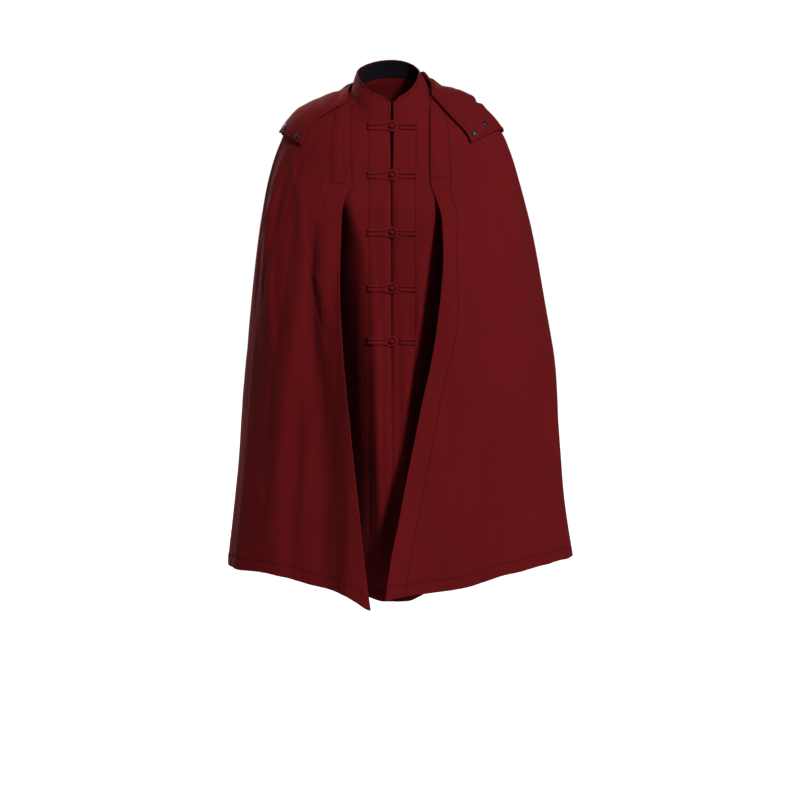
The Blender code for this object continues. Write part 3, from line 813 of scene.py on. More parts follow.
def grid_normals(middles):
    """Directions square to a grid of points, with no set side."""
    return unit(np.cross(np.gradient(middles, axis=0), np.gradient(middles, axis=1)))


def along_line(values, lengths, at):
    return np.stack([np.interp(at, lengths, values[:, axis]) for axis in range(3)], axis=-1)


def add_stitches(name, lines):
    """Short thread stitches along sewn lines, each line as points and the cloth's directions."""
    turn = turns(STITCH_SIDES)
    local = [(-1.0, 0.0, STITCH_DIP)]
    for along, share in STITCH_PROFILE:
        local += [(along, share * math.cos(a), share * math.sin(a)) for a in turn]
    local.append((1.0, 0.0, STITCH_DIP))
    local = np.array(local) * (STITCH_LENGTH / 2.0, STITCH_RADIUS, STITCH_RADIUS)
    points = []
    for line, normals in lines:
        steps = np.linalg.norm(np.diff(line, axis=0), axis=1)
        lengths = np.concatenate([[0.0], np.cumsum(steps)])
        centres = np.arange(STITCH_PITCH, lengths[-1] - STITCH_PITCH, STITCH_PITCH)
        ahead, behind = (along_line(line, lengths, centres + way) for way in (1.5, -1.5))
        forward = unit(ahead - behind)
        up = unit(along_line(normals, lengths, centres))
        middle = along_line(line, lengths, centres) + up * STITCH_LIFT
        axes = np.stack([forward, np.cross(up, forward), up], axis=1)
        points.append((middle[:, None] + local @ axes).reshape(-1, 3))
    points = np.concatenate(points)
    loops = 1 + np.arange(len(local) - 2).reshape(-1, STITCH_SIDES)
    tips = fan_faces(loops[0], 0)[:, ::-1], fan_faces(loops[-1], len(local) - 1)
    starts = np.arange(0, len(points), len(local))[:, None, None]
    shapes = band_faces(loops[1:], loops[:-1]), *tips
    groups = [(starts + shape).reshape(-1, shape.shape[1]) for shape in shapes]
    return make_object(name, points, groups, THREAD)


# Materials

def shader_of(name):
    """A new material, its node tree and its Principled shader."""
    made = bpy.data.materials.new(name)
    made.use_nodes = True
    return made, made.node_tree, made.node_tree.nodes["Principled BSDF"]


def fill(tree, node, inputs):
    """Set a node's inputs, each from a value or from another node's output."""
    for key, value in inputs.items():
        if isinstance(value, bpy.types.NodeSocket):
            tree.links.new(value, node.inputs[key])
        else:
            node.inputs[key].default_value = value
    return node


def add_node(tree, kind, inputs=(), **settings):
    node = tree.nodes.new(kind)
    for key, value in settings.items():
        setattr(node, key, value)
    return fill(tree, node, dict(inputs))


def mixed(tree, mode, factor, first, second):
    """The colour output of a mix of two colours."""
    inputs = {0: factor, 6: first, 7: second}
    return add_node(tree, "ShaderNodeMix", inputs, data_type="RGBA", blend_type=mode).outputs[2]


def noise(tree, place, scale, detail, roughness=0.5):
    inputs = {"Vector": place, "Scale": scale, "Detail": detail, "Roughness": roughness}
    return add_node(tree, "ShaderNodeTexNoise", inputs).outputs[0]


def ranged(tree, value, low, high, start=0.0, end=1.0):
    """A value between start and end, moved to between low and high."""
    inputs = {"Value": value, "From Min": start, "From Max": end, "To Min": low, "To Max": high}
    return add_node(tree, "ShaderNodeMapRange", inputs).outputs[0]


def add_cloth_material(name, colour, shade, sheen, sheen_tint, weave, nap):
    """Wool or lining: a fine twill under a brushed nap, slow shade changes, and painted shade along sewn
    lines, edges and gaps.
    """
    made, tree, shader = shader_of(name)
    place = add_node(tree, "ShaderNodeTexCoord").outputs["Object"]
    cloth = add_node(tree, "ShaderNodeUVMap", uv_map="cloth").outputs["UV"]
    sewn = add_node(tree, "ShaderNodeAttribute", attribute_name="seam").outputs["Fac"]
    fleck = noise(tree, place, FLECK_SCALE, 4.0, 0.7)
    tone = mixed(tree, "MIX", noise(tree, place, SHADE_SCALE, 3.0), (*colour, 1.0), (*shade, 1.0))
    tone = mixed(tree, "MULTIPLY", 1.0, tone, ranged(tree, fleck, *FLECK_SHADES, 0.3, 0.7))
    # Painted shade: the seam attribute darkens the cloth along sewn lines and seams, at the fronts' free
    # edges, under the outer fronts' edges and in the gap between the inner fronts
    tone = mixed(tree, "MULTIPLY", 1.0, tone, ranged(tree, sewn, 1.0, PAINTED_SEAM_SHADE))
    turned = add_node(tree, "ShaderNodeMapping", {"Vector": cloth, "Rotation": (0.0, 0.0, TWILL_ANGLE)})
    twill = {"Vector": turned.outputs[0], "Scale": TWILL_SCALE, "Distortion": 1.2, "Detail": 2.0}
    twill["Detail Scale"] = 3.0
    reliefs = (
        (add_node(tree, "ShaderNodeTexWave", twill).outputs[1], weave, WEAVE_DEPTH),
        (noise(tree, place, FIBRE_SCALE, 3.0), nap, FIBRE_DEPTH),
        (noise(tree, place, FELT_SCALE, 4.0), nap, FELT_DEPTH),
    )
    normal = {}
    for height, strength, distance in reliefs:
        inputs = {"Height": height, "Strength": strength, "Distance": distance, **normal}
        normal = {"Normal": add_node(tree, "ShaderNodeBump", inputs).outputs[0]}
    fill(tree, shader, {
        "Base Color": tone, "Roughness": ranged(tree, fleck, *FLECK_ROUGHNESS), "Specular IOR Level": 0.12,
        "Sheen Weight": sheen, "Sheen Roughness": 0.45, "Sheen Tint": (*sheen_tint, 1.0), **normal,
    })
    return made


def add_metal_material():
    """Dark plated press fasteners with a mottled tone, and a painted highlight of paler grey on their sharp
    rims.
    """
    made, tree, shader = shader_of("gunmetal_snap")
    rubbed = noise(tree, add_node(tree, "ShaderNodeTexCoord").outputs["Object"], 900.0, 4.0)
    edge = add_node(tree, "ShaderNodeNewGeometry").outputs["Pointiness"]
    tone = mixed(tree, "MIX", rubbed, (0.028, 0.029, 0.024, 1.0), (0.055, 0.056, 0.047, 1.0))
    # Painted highlight: the sharp rims are mixed toward a paler grey
    tone = mixed(tree, "MIX", ranged(tree, edge, 0.0, 1.0, 0.5, 0.62), tone, (0.17, 0.17, 0.14, 1.0))
    fill(tree, shader, {"Base Color": tone, "Roughness": ranged(tree, rubbed, 0.36, 0.54), "Metallic": 1.0})
    return made


WOOL = add_cloth_material("wine_wool_nap", (0.158, 0.0060, 0.0082), (0.128, 0.0046, 0.0064), 0.12,
                          (0.70, 0.09, 0.10), 0.25, 0.45)
# The cord wool is the cloak's wool painted a little lighter, a painted highlight for the cords' lit tops
CORD_WOOL_PAINTED_LIGHTER = add_cloth_material("wine_wool_cord_painted_lighter", (0.168, 0.0070, 0.0094), (0.138, 0.0054, 0.0074), 0.14,
                               (0.75, 0.12, 0.13), 0.6, 0.3)
LINING = add_cloth_material("dark_collar_lining", (0.0075, 0.006, 0.0105), (0.0045, 0.0035, 0.006), 0.05,
                            (0.3, 0.3, 0.4), 0.5, 0.1)
THREAD = add_cloth_material("wine_thread", (0.12, 0.0075, 0.0095), (0.10, 0.006, 0.0075), 0.1,
                            (0.8, 0.3, 0.3), 0.2, 0.1)
GUNMETAL = add_metal_material()


# Panels

def add_panel(kind, side, grid, uv, seam, puff, sewn, bulge=RIM_BULGE,
              wall=WALL, finish=WOOL, slot="wine_wool"):
    """A cloth wall with rounded edges on a grid of middles and normals, and its sewn lines' stitches."""
    suffix = "_" + side if side else ""
    node, sheet = kind + suffix, SHEETS[kind]
    middles, normals = grid
    rows, columns = middles.shape[:2]
    seam, puff, bulge, *uv = (np.broadcast_to(value, (rows, columns)) for value in (seam, puff, bulge, *uv))
    outer = middles + normals * (wall / 2.0 + puff - GROOVE_DEPTH * seam)[..., None]
    inner = middles - normals * (wall / 2.0)
    border = border_of(rows, columns)
    inside = np.zeros((rows, columns, 3))
    inside[0] += middles[1] - middles[0]
    inside[-1] += middles[-2] - middles[-1]
    inside[:, 0] += middles[:, 1] - middles[:, 0]
    inside[:, -1] += middles[:, -2] - middles[:, -1]
    edge, edge_normals, inward = (values.reshape(-1, 3)[border] for values in (middles, normals, inside))
    swell = -unit(inward) * wall * bulge.ravel()[border][:, None]
    rims = [edge + edge_normals * wall * share + swell for share in (0.3, -0.3)]
    count = rows * columns
    faces = grid_faces(rows, columns)
    rim = 2 * count + np.arange(len(border))
    loops = [border, rim, rim + len(border), border + count]
    groups = [faces, faces[:, ::-1] + count] + [band_faces(*pair) for pair in zip(loops, loops[1:])]
    across, downward = middles[0, 1] - middles[0, 0], middles[1, 0] - middles[0, 0]
    if np.dot(np.cross(across, downward), normals[0, 0]) < 0:
        groups = [group[:, ::-1] for group in groups]
    points = np.concatenate([outer.reshape(-1, 3), inner.reshape(-1, 3)] + rims)
    flat_uv, flat_seam = np.stack(uv, axis=-1).reshape(-1, 2), seam.ravel()
    all_uv = np.concatenate([flat_uv, flat_uv, flat_uv[border], flat_uv[border]])
    # Painted shade: the seam share darkens the outer face and the rims, and not the inner face; it also
    # presses the outer face in
    all_seam = np.concatenate([flat_seam, flat_seam * 0.0, flat_seam[border], flat_seam[border]])
    made = make_object("cloak_" + node, points, groups, finish, all_uv, all_seam)
    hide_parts(node)
    lines = [(outer[line], normals[line]) for line in sewn]
    sewing = [add_stitches("sewing_" + node, lines)] if lines else []


def panel_rows(*lines):
    """Ways down a panel, closer together at its hem and sewn lines."""
    return stations(SEAM / 2.0, LENGTH, ROW_STEP, (HEM_LINE, *lines))


def facing_puff(near, facing):
    """How much thicker a panel is over its facing, near being the distance from the edge."""
    return PUFF * held(near, 0.5, 8.0, facing - 10.0, facing)


def deepest(*seams):
    return functools.reduce(np.maximum, seams)


def add_back():
    rows = panel_rows()
    down = rows[:, None]
    start = side_seam_angle(down) + angle_across(SEAM / 2.0, down)
    angles, near, far = columns_round("left", start, 360.0 - start, down, EDGE_OFFSETS, BACK_COLUMNS)
    from_hem, from_side, from_end = np.abs(down - HEM_LINE), np.minimum(near, far), LENGTH - down
    # Grooves at the hem line and the side seams, darkened with painted shade through the seam attribute
    seam = deepest(groove(from_hem), PRESSED * groove(from_side))
    puff = PUFF * held(from_end, 1.0, HEM / 2.0, HEM / 2.0, HEM)
    puff = puff + pucker(from_hem, near, 0.4) + pucker(from_side, down, 1.9)
    grid = cloth_middle(angles, down), cloth_normal(angles, down)
    add_panel("back", "", grid, (near, down), seam, puff, [nearest(rows, HEM_LINE)])


def add_front(side):
    """An outer front, its facing stitched along the free edge and across at the slit's top."""
    bar = SLIT_TOP[side] - BAR_ABOVE_SLIT
    rows = panel_rows(bar)
    down = rows[:, None]
    facing = getattr(reading(FACINGS, down), side)
    usual = FACINGS[0].left
    near_places = stations(0.0, usual + 12.0, 8.0, [usual])
    start = lap_angles(side, down)[0]
    end = side_seam_angle(down) - angle_across(SEAM / 2.0, down)
    angles, near, far = columns_round(side, start, end, down, near_places * facing / usual, FRONT_COLUMNS)
    turned = sign_of(side) * angles
    placed = down + BAR_SLOPE * np.minimum(near, facing) * bell(down - bar, BAR_REACH)
    grid = cloth_place(turned, placed, front_lift(side, angles, down)), cloth_normal(turned, placed)
    sewn_end = bar if side == "right" else LENGTH
    sewn = ease(down, FACING_TOP, FACING_TOP + 6.0) * (down <= sewn_end)
    from_facing, from_hem = np.abs(near - facing), np.abs(down - HEM_LINE)
    from_bar = np.hypot(down - bar, np.maximum(near - facing, 0.0))
    # Grooves along the facing line, bar, hem and side seam, darkened with painted shade; along the free
    # edge above the slit, a groove and a painted shadow line where the edge lies over the inner front
    edge_groove_and_shade_share = 1.0 - ease(down, SLIT_TOP[side] - 10.0, SLIT_TOP[side])
    seam = deepest(groove(from_facing) * sewn, groove(from_bar), groove(from_hem), PRESSED * groove(far),
                   edge_groove_and_shade_share * groove(near))
    puff = (facing_puff(near, facing) + pucker(from_facing, down, 0.7)) * sewn
    puff = puff + pucker(from_hem, near, 2.1) + pucker(far, down, 1.3)
    if side == "right":
        fading = held(down, STRIP_START, STRIP_FULL, STRIP_FADE, bar)
        for fold in STRIP_FOLDS:
            puff = puff + fold.push * fading * bell(near - fold.near, fold.width)
    column = nearest(near_places, usual)
    first, last = np.searchsorted(rows, (FACING_TOP, sewn_end))
    lines = [np.s_[first:last + 1, column], np.s_[nearest(rows, bar), :column + 1], nearest(rows, HEM_LINE)]
    add_panel("front", side, grid, (near, down), seam, puff, lines)


def inner_fold_push(side, x, down):
    push = 0.0
    for fold in INNER_FOLDS[side]:
        strength = held(down, fold.start, fold.full, fold.fade, fold.end)
        middle = blend(fold.from_x, fold.to_x, ease(down, fold.start, fold.end))
        middle = middle + 2.0 * np.sin(down / 80.0 + fold.from_x)
        push = push + fold.push * strength * bell(x - middle, fold.width)
    return push


def hanging_place(side, x, down):
    """Points of an inner front where it hangs free, x being the distance from the middle."""
    hang = reading(HANGS, down)
    ridge = getattr(hang, side + "_ridge")
    turned_back = np.maximum(x - ridge, 0.0) / (hang.side - ridge)
    trough = TROUGH_DEPTH * bell(x, TROUGH_REACH)
    y = hang.middle_y + trough + hang.back * turned_back**hang.curve - inner_fold_push(side, x, down)
    rise = INNER_RISE * (x / hang.side) ** 2 * ease(down, DIPS_START, LENGTH)
    return np.stack(np.broadcast_arrays(sign_of(side) * x, y, hang.z + rise), axis=-1)


def hanging_share(side, down):
    """0 where an inner front lies on the body, and 1 where it hangs free."""
    return np.asarray(ease(down, SLIT_TOP[side], SLIT_TOP[side] + HANG_BLEND))


def inner_middle(side, x, down):
    """Points on the middle of an inner front."""
    on_body = cloth_middle(sign_of(side) * angle_at_x(side, x, down), down)
    return on_body + (hanging_place(side, x, down) - on_body) * hanging_share(side, down)[..., None]


def inner_normal(side, x, down):
    """The outward direction of an inner front, square to the body while it lies on it."""
    on_body = cloth_normal(sign_of(side) * angle_at_x(side, x, down), down)
    across = inner_middle(side, x + 1.0, down) - inner_middle(side, x - 1.0, down)
    downward = inner_middle(side, x, down + 1.0) - inner_middle(side, x, down - 1.0)
    own = unit(np.cross(downward, across)) * sign_of(side)
    return unit(on_body + (own - on_body) * hanging_share(side, down)[..., None])


def add_inner_front(side):
    rows = panel_rows()
    down = rows[:, None]
    free = hanging_share(side, down)
    under = lap_angles(side, down)[1]
    end_x = blend(half_width(side, down) * np.sin(np.radians(under)), reading(HANGS, down).side, free)
    gap = reading(OPENINGS, down).half_gap
    near_places = stations(0.0, INNER_FACING + 8.0, 6.0, [INNER_FACING])
    first, last = near_places + 0.0 * down, end_x - gap - np.array(EDGE_OFFSETS[::-1])
    between = first[:, -1:] + (last[:, :1] - first[:, -1:]) * np.linspace(0.0, 1.0, 12)[1:-1]
    near = np.concatenate([first, between, last], axis=1)
    x = gap + near
    edge = edge_x(side, down)
    from_facing, from_hem = np.abs(near - INNER_FACING), np.abs(down - HEM_LINE)
    # Painted shade: a dark line under the outer front's edge and in the gap where the inner fronts meet,
    # and the grooves of the facing and hem lines darkened too
    groove_and_shade_under_edge = bell(x - edge + 1.0, 3.0) * (1.0 - free)
    groove_and_shade_at_gap = groove(near) * (1.0 - ease(down, *MEETING_FADES))
    seam = deepest(groove(from_facing), groove(from_hem), groove_and_shade_under_edge, groove_and_shade_at_gap) * ease(down, 8.0, 16.0)
    shown = 1.0 - ease(x, edge - 12.0, edge - 4.0) * (1.0 - free)
    puff = facing_puff(near, INNER_FACING) + pucker(from_facing, down, 1.1) + pucker(from_hem, near, 0.2)
    lines = [np.s_[2:, nearest(near_places, INNER_FACING)], nearest(rows, HEM_LINE)]
    grid = inner_middle(side, x, down), inner_normal(side, x, down)
    add_panel("inner_front", side, grid, (near, down), seam, puff * shown, lines,
              bulge=RIM_BULGE * ease(down, *INNER_RIM_GROWS))


# Collar

def add_collar_layer(kind, lift, wall, inset, sewn, **looks):
    """One layer of the standing collar, its top corners rounded down at the front."""
    neck = np.array([[0.0]])
    gap = reading(OPENINGS, neck).half_gap
    start, end = angle_at_x("left", gap, neck), 360.0 - angle_at_x("right", gap, neck)
    angles, near, far = columns_round("left", start, end, neck, EDGE_OFFSETS, COLLAR_COLUMNS)
    from_middle = np.abs(turned_angle(angles)) / 90.0 * half_width("left", 0.0)
    top = RINGS[0].down + inset + CORNER_DROP * bell(from_middle, CORNER_REACH)
    ways = stations(0.0, -RINGS[0].down, 4.0, [COLLAR_STITCH])
    down = blend(top, -SEAM / 2.0, ways[:, None] / -RINGS[0].down)
    from_edge = np.minimum(down - top, np.minimum(near, far))
    from_line = np.abs(from_edge - COLLAR_STITCH)
    rolled = 0.4 * held(from_edge, 0.3, 2.5, 3.0, COLLAR_STITCH)
    puff = pucker(from_line, near, 0.9) + rolled
    lines = [np.s_[nearest(ways, COLLAR_STITCH), 4:-4]] if sewn else []
    grid = cloth_place(angles, down, lift + 0.0 * down), cloth_normal(angles, down)
    # The stitched line's groove, darkened with painted shade
    seam = sewn * groove(from_line)
    add_panel(kind, "", grid, (near, down), seam, sewn * puff, lines, wall=wall, **looks)


def add_collar():
    add_collar_layer("collar", 0.0, COLLAR_WALL, 0.0, 1.0)
    inward = -(COLLAR_WALL / 2.0 + SEAM + LINING_WALL / 2.0)
    looks = {"finish": LINING, "slot": "dark_lining"}
    add_collar_layer("collar_lining", inward, LINING_WALL, LINING_INSET, 0.0, **looks)


# Hood

def hood_layer(side, along, angle):
    """The way down and lift of the hood's outer layer, or its chin flap's, at an angle."""
    row = reading(FLAPS[side], along)
    share = (angle - row.low_angle) / (RIDGE_ANGLE - row.low_angle)
    flap_down = blend(row.low_down, row.ridge_down, share)
    flap_lift = blend(row.low_lift, row.ridge_lift, ease(share, 0.0, 1.0))
    behind = ease(angle, FLAP_TOP, 180.0)
    over = angle > RIDGE_ANGLE
    down = np.where(over, blend(row.ridge_down, row.back_down, behind), flap_down)
    return down, np.where(over, blend(row.ridge_lift, row.back_lift, behind), flap_lift)


def hood_push(side, along, angle):
    """The folds of the hood's outer layer and the creases of its chin flap."""
    push = 0.0
    behind = ease(angle, FLAP_TOP, 172.0)
    strength = ease(angle, FLAP_TOP, 128.0) * held(along, 0.0, 0.08, 0.94, 1.0)
    for swag in SWAGS:
        middle = blend(swag.shoulder, swag.middle, behind) + 0.012 * np.sin(angle / 7.0 + 9.0 * swag.middle)
        push = push + swag.push * strength * bell(along - middle, swag.width)
    for crease in FLAP_CREASES[side]:
        share = (angle - crease.from_angle) / (crease.to_angle - crease.from_angle)
        strength = held(share, 0.0, 0.5, 0.8, 1.25)
        push = push + crease.push * strength * bell(along - crease.along, crease.width)
    return push


def hood_place(side, along, angle):
    """Points on the middle of the hood's outer layer or of its chin flap."""
    down, lift = hood_layer(side, along, angle)
    lift = lift + front_lift(side, angle, np.maximum(down, 0.0)) + hood_push(side, along, angle)
    return cloth_place(sign_of(side) * angle, down, lift)


def hood_normal(side, along, angle):
    """The outward direction of the hood's outer layer and flap."""
    lengthwise = hood_place(side, along + 0.01, angle) - hood_place(side, along - 0.01, angle)
    across = hood_place(side, along, angle + 0.5) - hood_place(side, along, angle - 0.5)
    return unit(np.cross(lengthwise, across)) * sign_of(side)


def flap_angle(side, along, across):
    """The angle at a share of the chin flap's width, from its lower edge to the hood's seam."""
    seam = FLAP_TOP - angle_across(SEAM / 2.0, FLAP_MIDDLE)
    return blend(reading(FLAPS[side], along).low_angle, seam, across)


def add_hood_flap(side):
    """A chin flap, stitched round its three free edges."""
    ways = stations(0.0, FLAP_LENGTH, 5.0, [FLAP_LENGTH - FLAP_STITCH])
    from_low = stations(0.0, FLAP_WIDTH, 5.0, [FLAP_STITCH])[None, :]
    alongs = ways[:, None] / FLAP_LENGTH
    angles = flap_angle(side, alongs, from_low / FLAP_WIDTH)
    grid = hood_place(side, alongs, angles), hood_normal(side, alongs, angles)
    from_end, from_seam = (1.0 - alongs) * FLAP_LENGTH, FLAP_WIDTH - from_low
    from_edge = np.minimum(from_low, from_end)
    from_line = np.abs(from_edge - FLAP_STITCH)
    rooted = ease(alongs, 0.04, 0.09)
    # Grooves of the stitched line and of the seam to the hood, darkened with painted shade
    seam = deepest(groove(from_line) * rooted, PRESSED * groove(from_seam))
    puff = PUFF * rooted * held(from_edge, 0.5, 3.0, 4.0, FLAP_STITCH)
    puff = puff + 0.6 * pucker(from_line, from_low + from_end, 1.5)
    column, row = nearest(from_low[0], FLAP_STITCH), nearest(ways, FLAP_LENGTH - FLAP_STITCH)
    first = int(np.searchsorted(alongs[:, 0], 0.07))
    lines = [np.s_[first:row + 1, column], np.s_[row, column:]]
    add_panel("hood_flap", side, grid, (from_low, from_end), seam, puff, lines)


def hood_under(side, angles):
    """Rows of points round the hood's bottom and up its under layer to the neck."""
    bottom_down, bottom_lift = hood_layer(side, 1.0, angles)
    radius = (bottom_lift - HOOD_UNDER_LIFT) / 2.0
    turned = sign_of(side) * angles
    rows = []
    for turn in np.linspace(0.0, math.pi, 10)[1:-1]:
        lift = HOOD_UNDER_LIFT + radius * (1.0 + math.cos(turn))
        rows.append(cloth_place(turned, bottom_down + radius * math.sin(turn), lift))
    for share in np.linspace(0.0, 1.0, 22):
        down = blend(bottom_down, HOOD_UNDER_TOP, share)
        rows.append(cloth_place(turned, down, HOOD_UNDER_LIFT + 0.0 * angles))
    return np.array(rows)


def add_hood_half(side):
    """Half of the hood: its outer layer, rounded bottom and under layer in one wall."""
    half_seam = float(angle_across(SEAM / 2.0, FLAP_MIDDLE))
    start, end = FLAP_TOP + half_seam, 180.0 - half_seam
    spread = stations(start * HOOD_ARC, end * HOOD_ARC, HOOD_STEP) / HOOD_ARC
    ways = np.append(stations(0.0, HOOD_LENGTH, 5.0, [HEM])[:-3], HOOD_LENGTH)[:, None]
    alongs, angles = ways / HOOD_LENGTH, spread[None, :]
    middles = np.concatenate([hood_place(side, alongs, angles), hood_under(side, spread)])
    normals = grid_normals(middles)
    normals = normals * np.sign(np.sum(normals[5, 5] * hood_normal(side, alongs[5], spread[5])[0]))
    count = len(alongs)
    normals[:count, 0] = hood_normal(side, alongs, angles[:, :1])[:, 0]
    across = angles * HOOD_ARC
    from_seams = np.minimum(spread - start, end - spread)[None, :] * HOOD_ARC
    from_mouth = ways - HEM
    seam, puff = np.zeros(middles.shape[:2]), np.zeros(middles.shape[:2])
    # Grooves of the mouth's hem and of the seams, darkened with painted shade
    seam[:count] = deepest(groove(from_mouth), groove(from_seams))
    puff[:count] = pucker(from_mouth, across, 0.3) + pucker(from_seams, ways, 2.2)
    steps = np.linalg.norm(np.diff(middles, axis=0), axis=2).mean(axis=1)
    along_mm = np.concatenate([[0.0], np.cumsum(steps)])[:, None]
    add_panel("hood", side, (middles, normals), (across, along_mm), seam, puff, [nearest(ways[:, 0], HEM)])


# Frogs

def front_places(side, x, z, lift):
    """Points lifted square off an inner front at these x and heights, and the ways off it."""
    x, z, lift = np.broadcast_arrays(np.asarray(x, float), np.asarray(z, float), np.asarray(lift, float))
    half_gap = float(reading(OPENINGS, CLOSED_AT).half_gap)
    base_x, down = np.maximum(np.abs(x), half_gap), -z
    for _ in range(PLACING_ROUNDS):
        normals = inner_normal(side, base_x, down)
        points = inner_middle(side, base_x, down) + normals * lift[..., None]
        base_x = np.maximum(base_x + np.abs(x) - np.abs(points[..., 0]), half_gap)
        down = np.maximum(down + (points[..., 2] - z) / USUAL_FALL, 1.0)
    return np.stack([x, points[..., 1], points[..., 2]], axis=-1), normals


def smooth_path(rows, between):
    """A denser path on a smooth curve through rows of values."""
    padded = np.concatenate([[2 * rows[0] - rows[1]], rows, [2 * rows[-1] - rows[-2]]])
    path = []
    for a, b, c, d in zip(padded, padded[1:], padded[2:], padded[3:]):
        for t in np.arange(between) / between:
            bend = (2 * a - 5 * b + 4 * c - d) * t**2 + (3 * b - a - 3 * c + d) * t**3
            path.append(0.5 * (2 * b + (c - a) * t + bend))
    return np.array(path + [rows[-1]])


def tube(path, radii, sides, closed=False, flatness=1.0, outward=(0.0, -1.0, 0.0)):
    """Points and faces of a tube along a path, as high as flatness times its width."""
    if closed:
        forward = unit(np.roll(path, -1, axis=0) - np.roll(path, 1, axis=0))
    else:
        forward = unit(np.gradient(path, axis=0))
    across = np.cross(forward, outward)
    for index in range(len(path)):
        if np.linalg.norm(across[index]) < 0.2:
            across[index] = across[index - 1]
    across = unit(across)
    upward = np.cross(across, forward)
    turn = turns(sides)[:, None]
    spokes = across[:, None] * np.cos(turn) + upward[:, None] * np.sin(turn) * flatness
    points = (path[:, None] + spokes * radii[:, None, None]).reshape(-1, 3)
    loops = np.arange(len(points)).reshape(-1, sides)
    if closed:
        return points, [band_faces(np.roll(loops, -1, axis=0), loops)]
    return points, [band_faces(loops[1:], loops[:-1]), loops[:1, ::-1], loops[-1:]]


def cord_tubes(cords):
    """For each frog, a doubled cord on the inner fronts as a tube."""
    cords = list(cords) + [Cord(cord.x, -cord.spread, cord.lift, cord.radius) for cord in cords[::-1]]
    x, spread, lift, sizes = np.array(cords, float).T
    heights = np.array(FROG_HEIGHTS)[:, None] + spread
    on_right = front_places("right", x, heights, lift - CORD_SINK)
    on_left = front_places("left", x, heights, lift - CORD_SINK)
    places, normals = (np.where((x > 0)[:, None], left, right) for left, right in zip(on_left, on_right))
    tubes = []
    for points, ways in zip(places, normals):
        path = smooth_path(np.concatenate([points, ways], axis=1), CORD_STEPS)
        radii = np.interp(np.arange(len(path)) / CORD_STEPS, np.arange(len(sizes)), sizes)
        radii[[0, -1]] *= 0.62
        radii[[1, -2]] *= 0.9
        tubes.append(tube(path[:, :3], radii, CORD_SIDES, flatness=CORD_FLATNESS, outward=path[:, 3:]))
    return tubes


def add_frog_piece(kind, number, parts):
    """One object of several tubes, replacing its solid."""
    points, groups, start = [], [], 0
    for part_points, part_groups in parts:
        points.append(part_points)
        groups += [group + start for group in part_groups]
        start += len(part_points)
    points = np.concatenate(points)
    name = "frog_%s_%d" % (kind, number)
    made = make_object(name, points, groups, CORD_WOOL_PAINTED_LIGHTER, points[:, (0, 2)], np.zeros(len(points)))
    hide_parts("frog_%d_%s" % (number, kind))


def add_loops():
    """The loop side of each frog, its bow rising over the button's neck."""
    bow = []
    for turn in np.radians(LOOP_ANGLES):
        x, spread = LOOP_RADIUS * math.cos(turn), LOOP_RADIUS * math.sin(turn)
        bow.append(Cord(x, spread, CORD_LIFT + LOOP_RISE * (1.0 + x / LOOP_RADIUS) / 2.0, BOW_RADIUS))
    for number, cord in enumerate(cord_tubes(LOOP_CORD + tuple(bow)), start=1):
        add_frog_piece("loop", number, [cord])


def knot_path(centre, out, big, small):
    """A closed path wound like a ball knot about the outward direction."""
    turn = turns(140)[:, None]
    reach = big + small * np.cos(5.0 * turn)
    across = unit(np.cross(out, (0.0, 0.0, 1.0)))
    upward = np.cross(across, out)
    return (centre + across * (reach * np.cos(3.0 * turn)) + upward * (reach * np.sin(3.0 * turn))
            + out * (1.25 * small * np.sin(5.0 * turn)))


def ball(centre, radius):
    """Points and faces of a small sphere that fills the knot."""
    turn = np.linspace(0.08, math.pi - 0.08, 9)
    path = centre + np.cos(turn)[:, None] * (0.0, 0.0, radius)
    return tube(path, radius * np.sin(turn), 12)


def add_buttons():
    """The button side of each frog: a ball knot whose neck passes under the loop to two tails."""
    centres = front_places("left", 0.0, FROG_HEIGHTS, KNOT_LIFT)[0]
    middle = Cord(0.0, 0.4, KNOT_LIFT - 1.0, NECK_RADIUS)
    out = unit(np.array(KNOT_FACES))
    for number, cord in enumerate(cord_tubes(BUTTON_CORD + (middle,)), start=1):
        centre = centres[number - 1]
        winding = knot_path(centre, out, KNOT_RADIUS - 2.0 * STRAND_RADIUS, STRAND_RADIUS)
        strands = tube(winding, np.full(len(winding), STRAND_RADIUS), 8, closed=True)
        add_frog_piece("button", number, [cord, strands, ball(centre, KNOT_FILLING)])


def add_tacks():
    """Bars of thread over the outer ends of the frogs' cords."""
    rises = np.linspace(-TACK_HALF_LENGTH, TACK_HALF_LENGTH, 9)
    bulge = CORD_FLATNESS * np.sqrt(np.maximum(CORD_RADIUS**2 - (np.abs(rises) - CORD_SPREAD) ** 2, 0.0))
    heights = np.array(FROG_HEIGHTS)[:, None] + rises
    lines = []
    for tack in TACKS:
        bars, normals = front_places(tack.side, tack.x, heights, tack.lift - CORD_SINK)
        for bar, ways in zip(bars + normals * bulge[:, None], normals):
            lines += [(bar + (offset, 0.0, 0.0), ways) for offset in (-TACK_HALF_GAP, TACK_HALF_GAP)]
    add_stitches("sewing_frogs", lines)


# Press fasteners

def add_snap(side, number, along, across):
    """A turned cap with a ring groove, standing on the chin flap."""
    angle = flap_angle(side, along, across)
    here, axis = hood_place(side, along, angle), hood_normal(side, along, angle)
    first = unit(hood_place(side, along + 0.01, angle) - here)
    turn = turns(36)[:, None]
    spokes = (first * np.cos(turn) + np.cross(axis, first) * np.sin(turn)) * SNAP_RADIUS
    foot = here + axis * (WALL / 2.0 + PUFF * 0.4 + SNAP_LIFT)
    rings = [foot + axis * height + spokes * share for share, height in SNAP_PROFILE]
    points = np.concatenate(rings[:-1] + [rings[-1][:1]])
    loops = np.arange(len(points) - 1).reshape(-1, len(turn))
    groups = [band_faces(loops[1:], loops[:-1]), fan_faces(loops[-1], len(points) - 1), loops[:1, ::-1]]
    made = make_object("snap_cap_%s_%d" % (side, number), points, groups, GUNMETAL)
    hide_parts("snap_%s_%d" % (side, number))


# Stage, light and camera

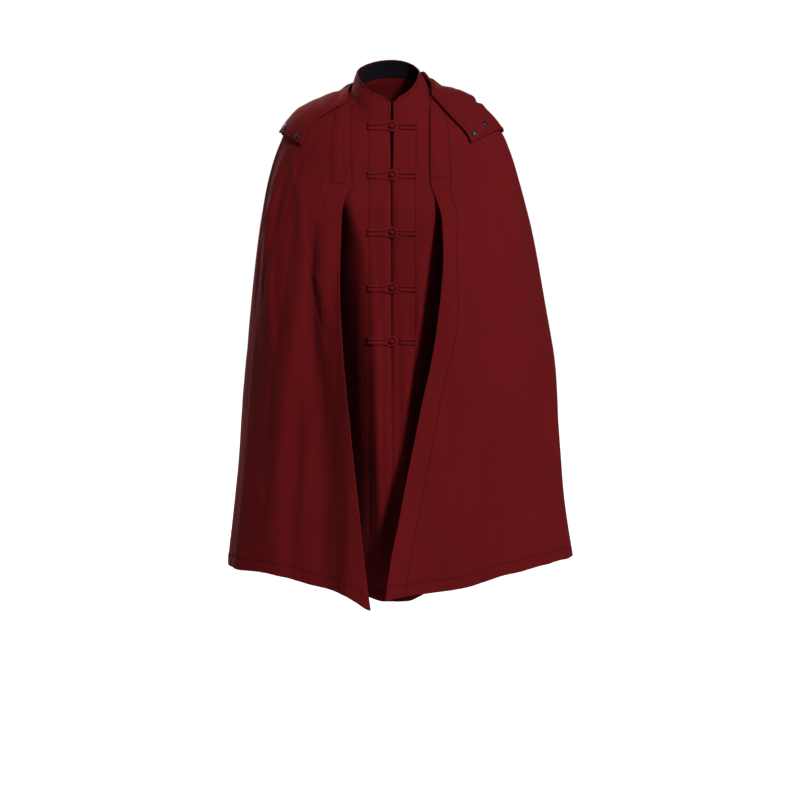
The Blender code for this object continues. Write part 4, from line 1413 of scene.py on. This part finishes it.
def add_floor():
    """A plain pale floor, wide enough for every view."""
    ways = ((-1, -1), (1, -1), (1, 1), (-1, 1))
    corners = [(x * FLOOR_HALF * MM, y * FLOOR_HALF * MM, FLOOR_Z * MM) for x, y in ways]
    mesh = bpy.data.meshes.new("floor")
    mesh.from_pydata(corners, [], [(0, 1, 2, 3)])
    made, tree, shader = shader_of("pale_floor")
    mottle = noise(tree, add_node(tree, "ShaderNodeTexCoord").outputs["Object"], 2.0, 2.0)
    fill(tree, shader, {
        "Base Color": mixed(tree, "MIX", mottle, (0.30, 0.30, 0.30, 1.0), (0.32, 0.32, 0.32, 1.0)),
        "Roughness": 0.9, "Emission Color": WHITE,
        "Emission Strength": add_node(tree, "ShaderNodeLightPath").outputs["Is Camera Ray"],
    })
    mesh.materials.append(made)
    floor = bpy.data.objects.new("floor", mesh)
    bpy.context.scene.collection.objects.link(floor)


def add_lamp(lamp):
    light = bpy.data.lights.new(lamp.name, "AREA")
    light.shape = "DISK"
    light.size = lamp.size
    light.energy = lamp.power
    light.color = lamp.colour
    made = bpy.data.objects.new(lamp.name, light)
    bpy.context.scene.collection.objects.link(made)
    made.location = lamp.place
    aim = Vector((0.0, 0.0, lamp.aim_z)) - Vector(lamp.place)
    made.rotation_euler = aim.to_track_quat("-Z", "Y").to_euler()


def add_world():
    world = bpy.data.worlds.new("studio")
    world.use_nodes = True
    tree = world.node_tree
    shown = fill(tree, tree.nodes["Background"], {"Color": WHITE, "Strength": 1.0})
    lit = add_node(tree, "ShaderNodeBackground", {"Color": WHITE, "Strength": WORLD_LIGHT})
    camera_ray = add_node(tree, "ShaderNodeLightPath").outputs["Is Camera Ray"]
    mix = add_node(tree, "ShaderNodeMixShader", {0: camera_ray, 1: lit.outputs[0], 2: shown.outputs[0]})
    fill(tree, tree.nodes["World Output"], {"Surface": mix.outputs[0]})
    bpy.context.scene.world = world


def add_camera():
    view = bpy.data.cameras.new("view")
    view.sensor_width = SENSOR
    view.lens = FOCAL_PIXELS / PIXELS * SENSOR
    made = bpy.data.objects.new("view", view)
    made.location = [value * MM for value in CAMERA_PLACE]
    made.rotation_euler = (math.radians(90.0 - CAMERA_TILT), 0.0, 0.0)
    bpy.context.scene.collection.objects.link(made)
    bpy.context.scene.camera = made


def main():
    add_camera()
    add_back()
    add_collar()
    for side in ("right", "left"):
        add_front(side)
        add_inner_front(side)
        add_hood_half(side)
        add_hood_flap(side)
        for number, (along, across) in enumerate(SNAPS[side], start=1):
            add_snap(side, number, along, across)
    add_loops()
    add_buttons()
    add_tacks()
    add_floor()
    add_world()
    for lamp in LAMPS:
        add_lamp(lamp)
    bpy.context.scene.view_settings.view_transform = "Standard"


main()
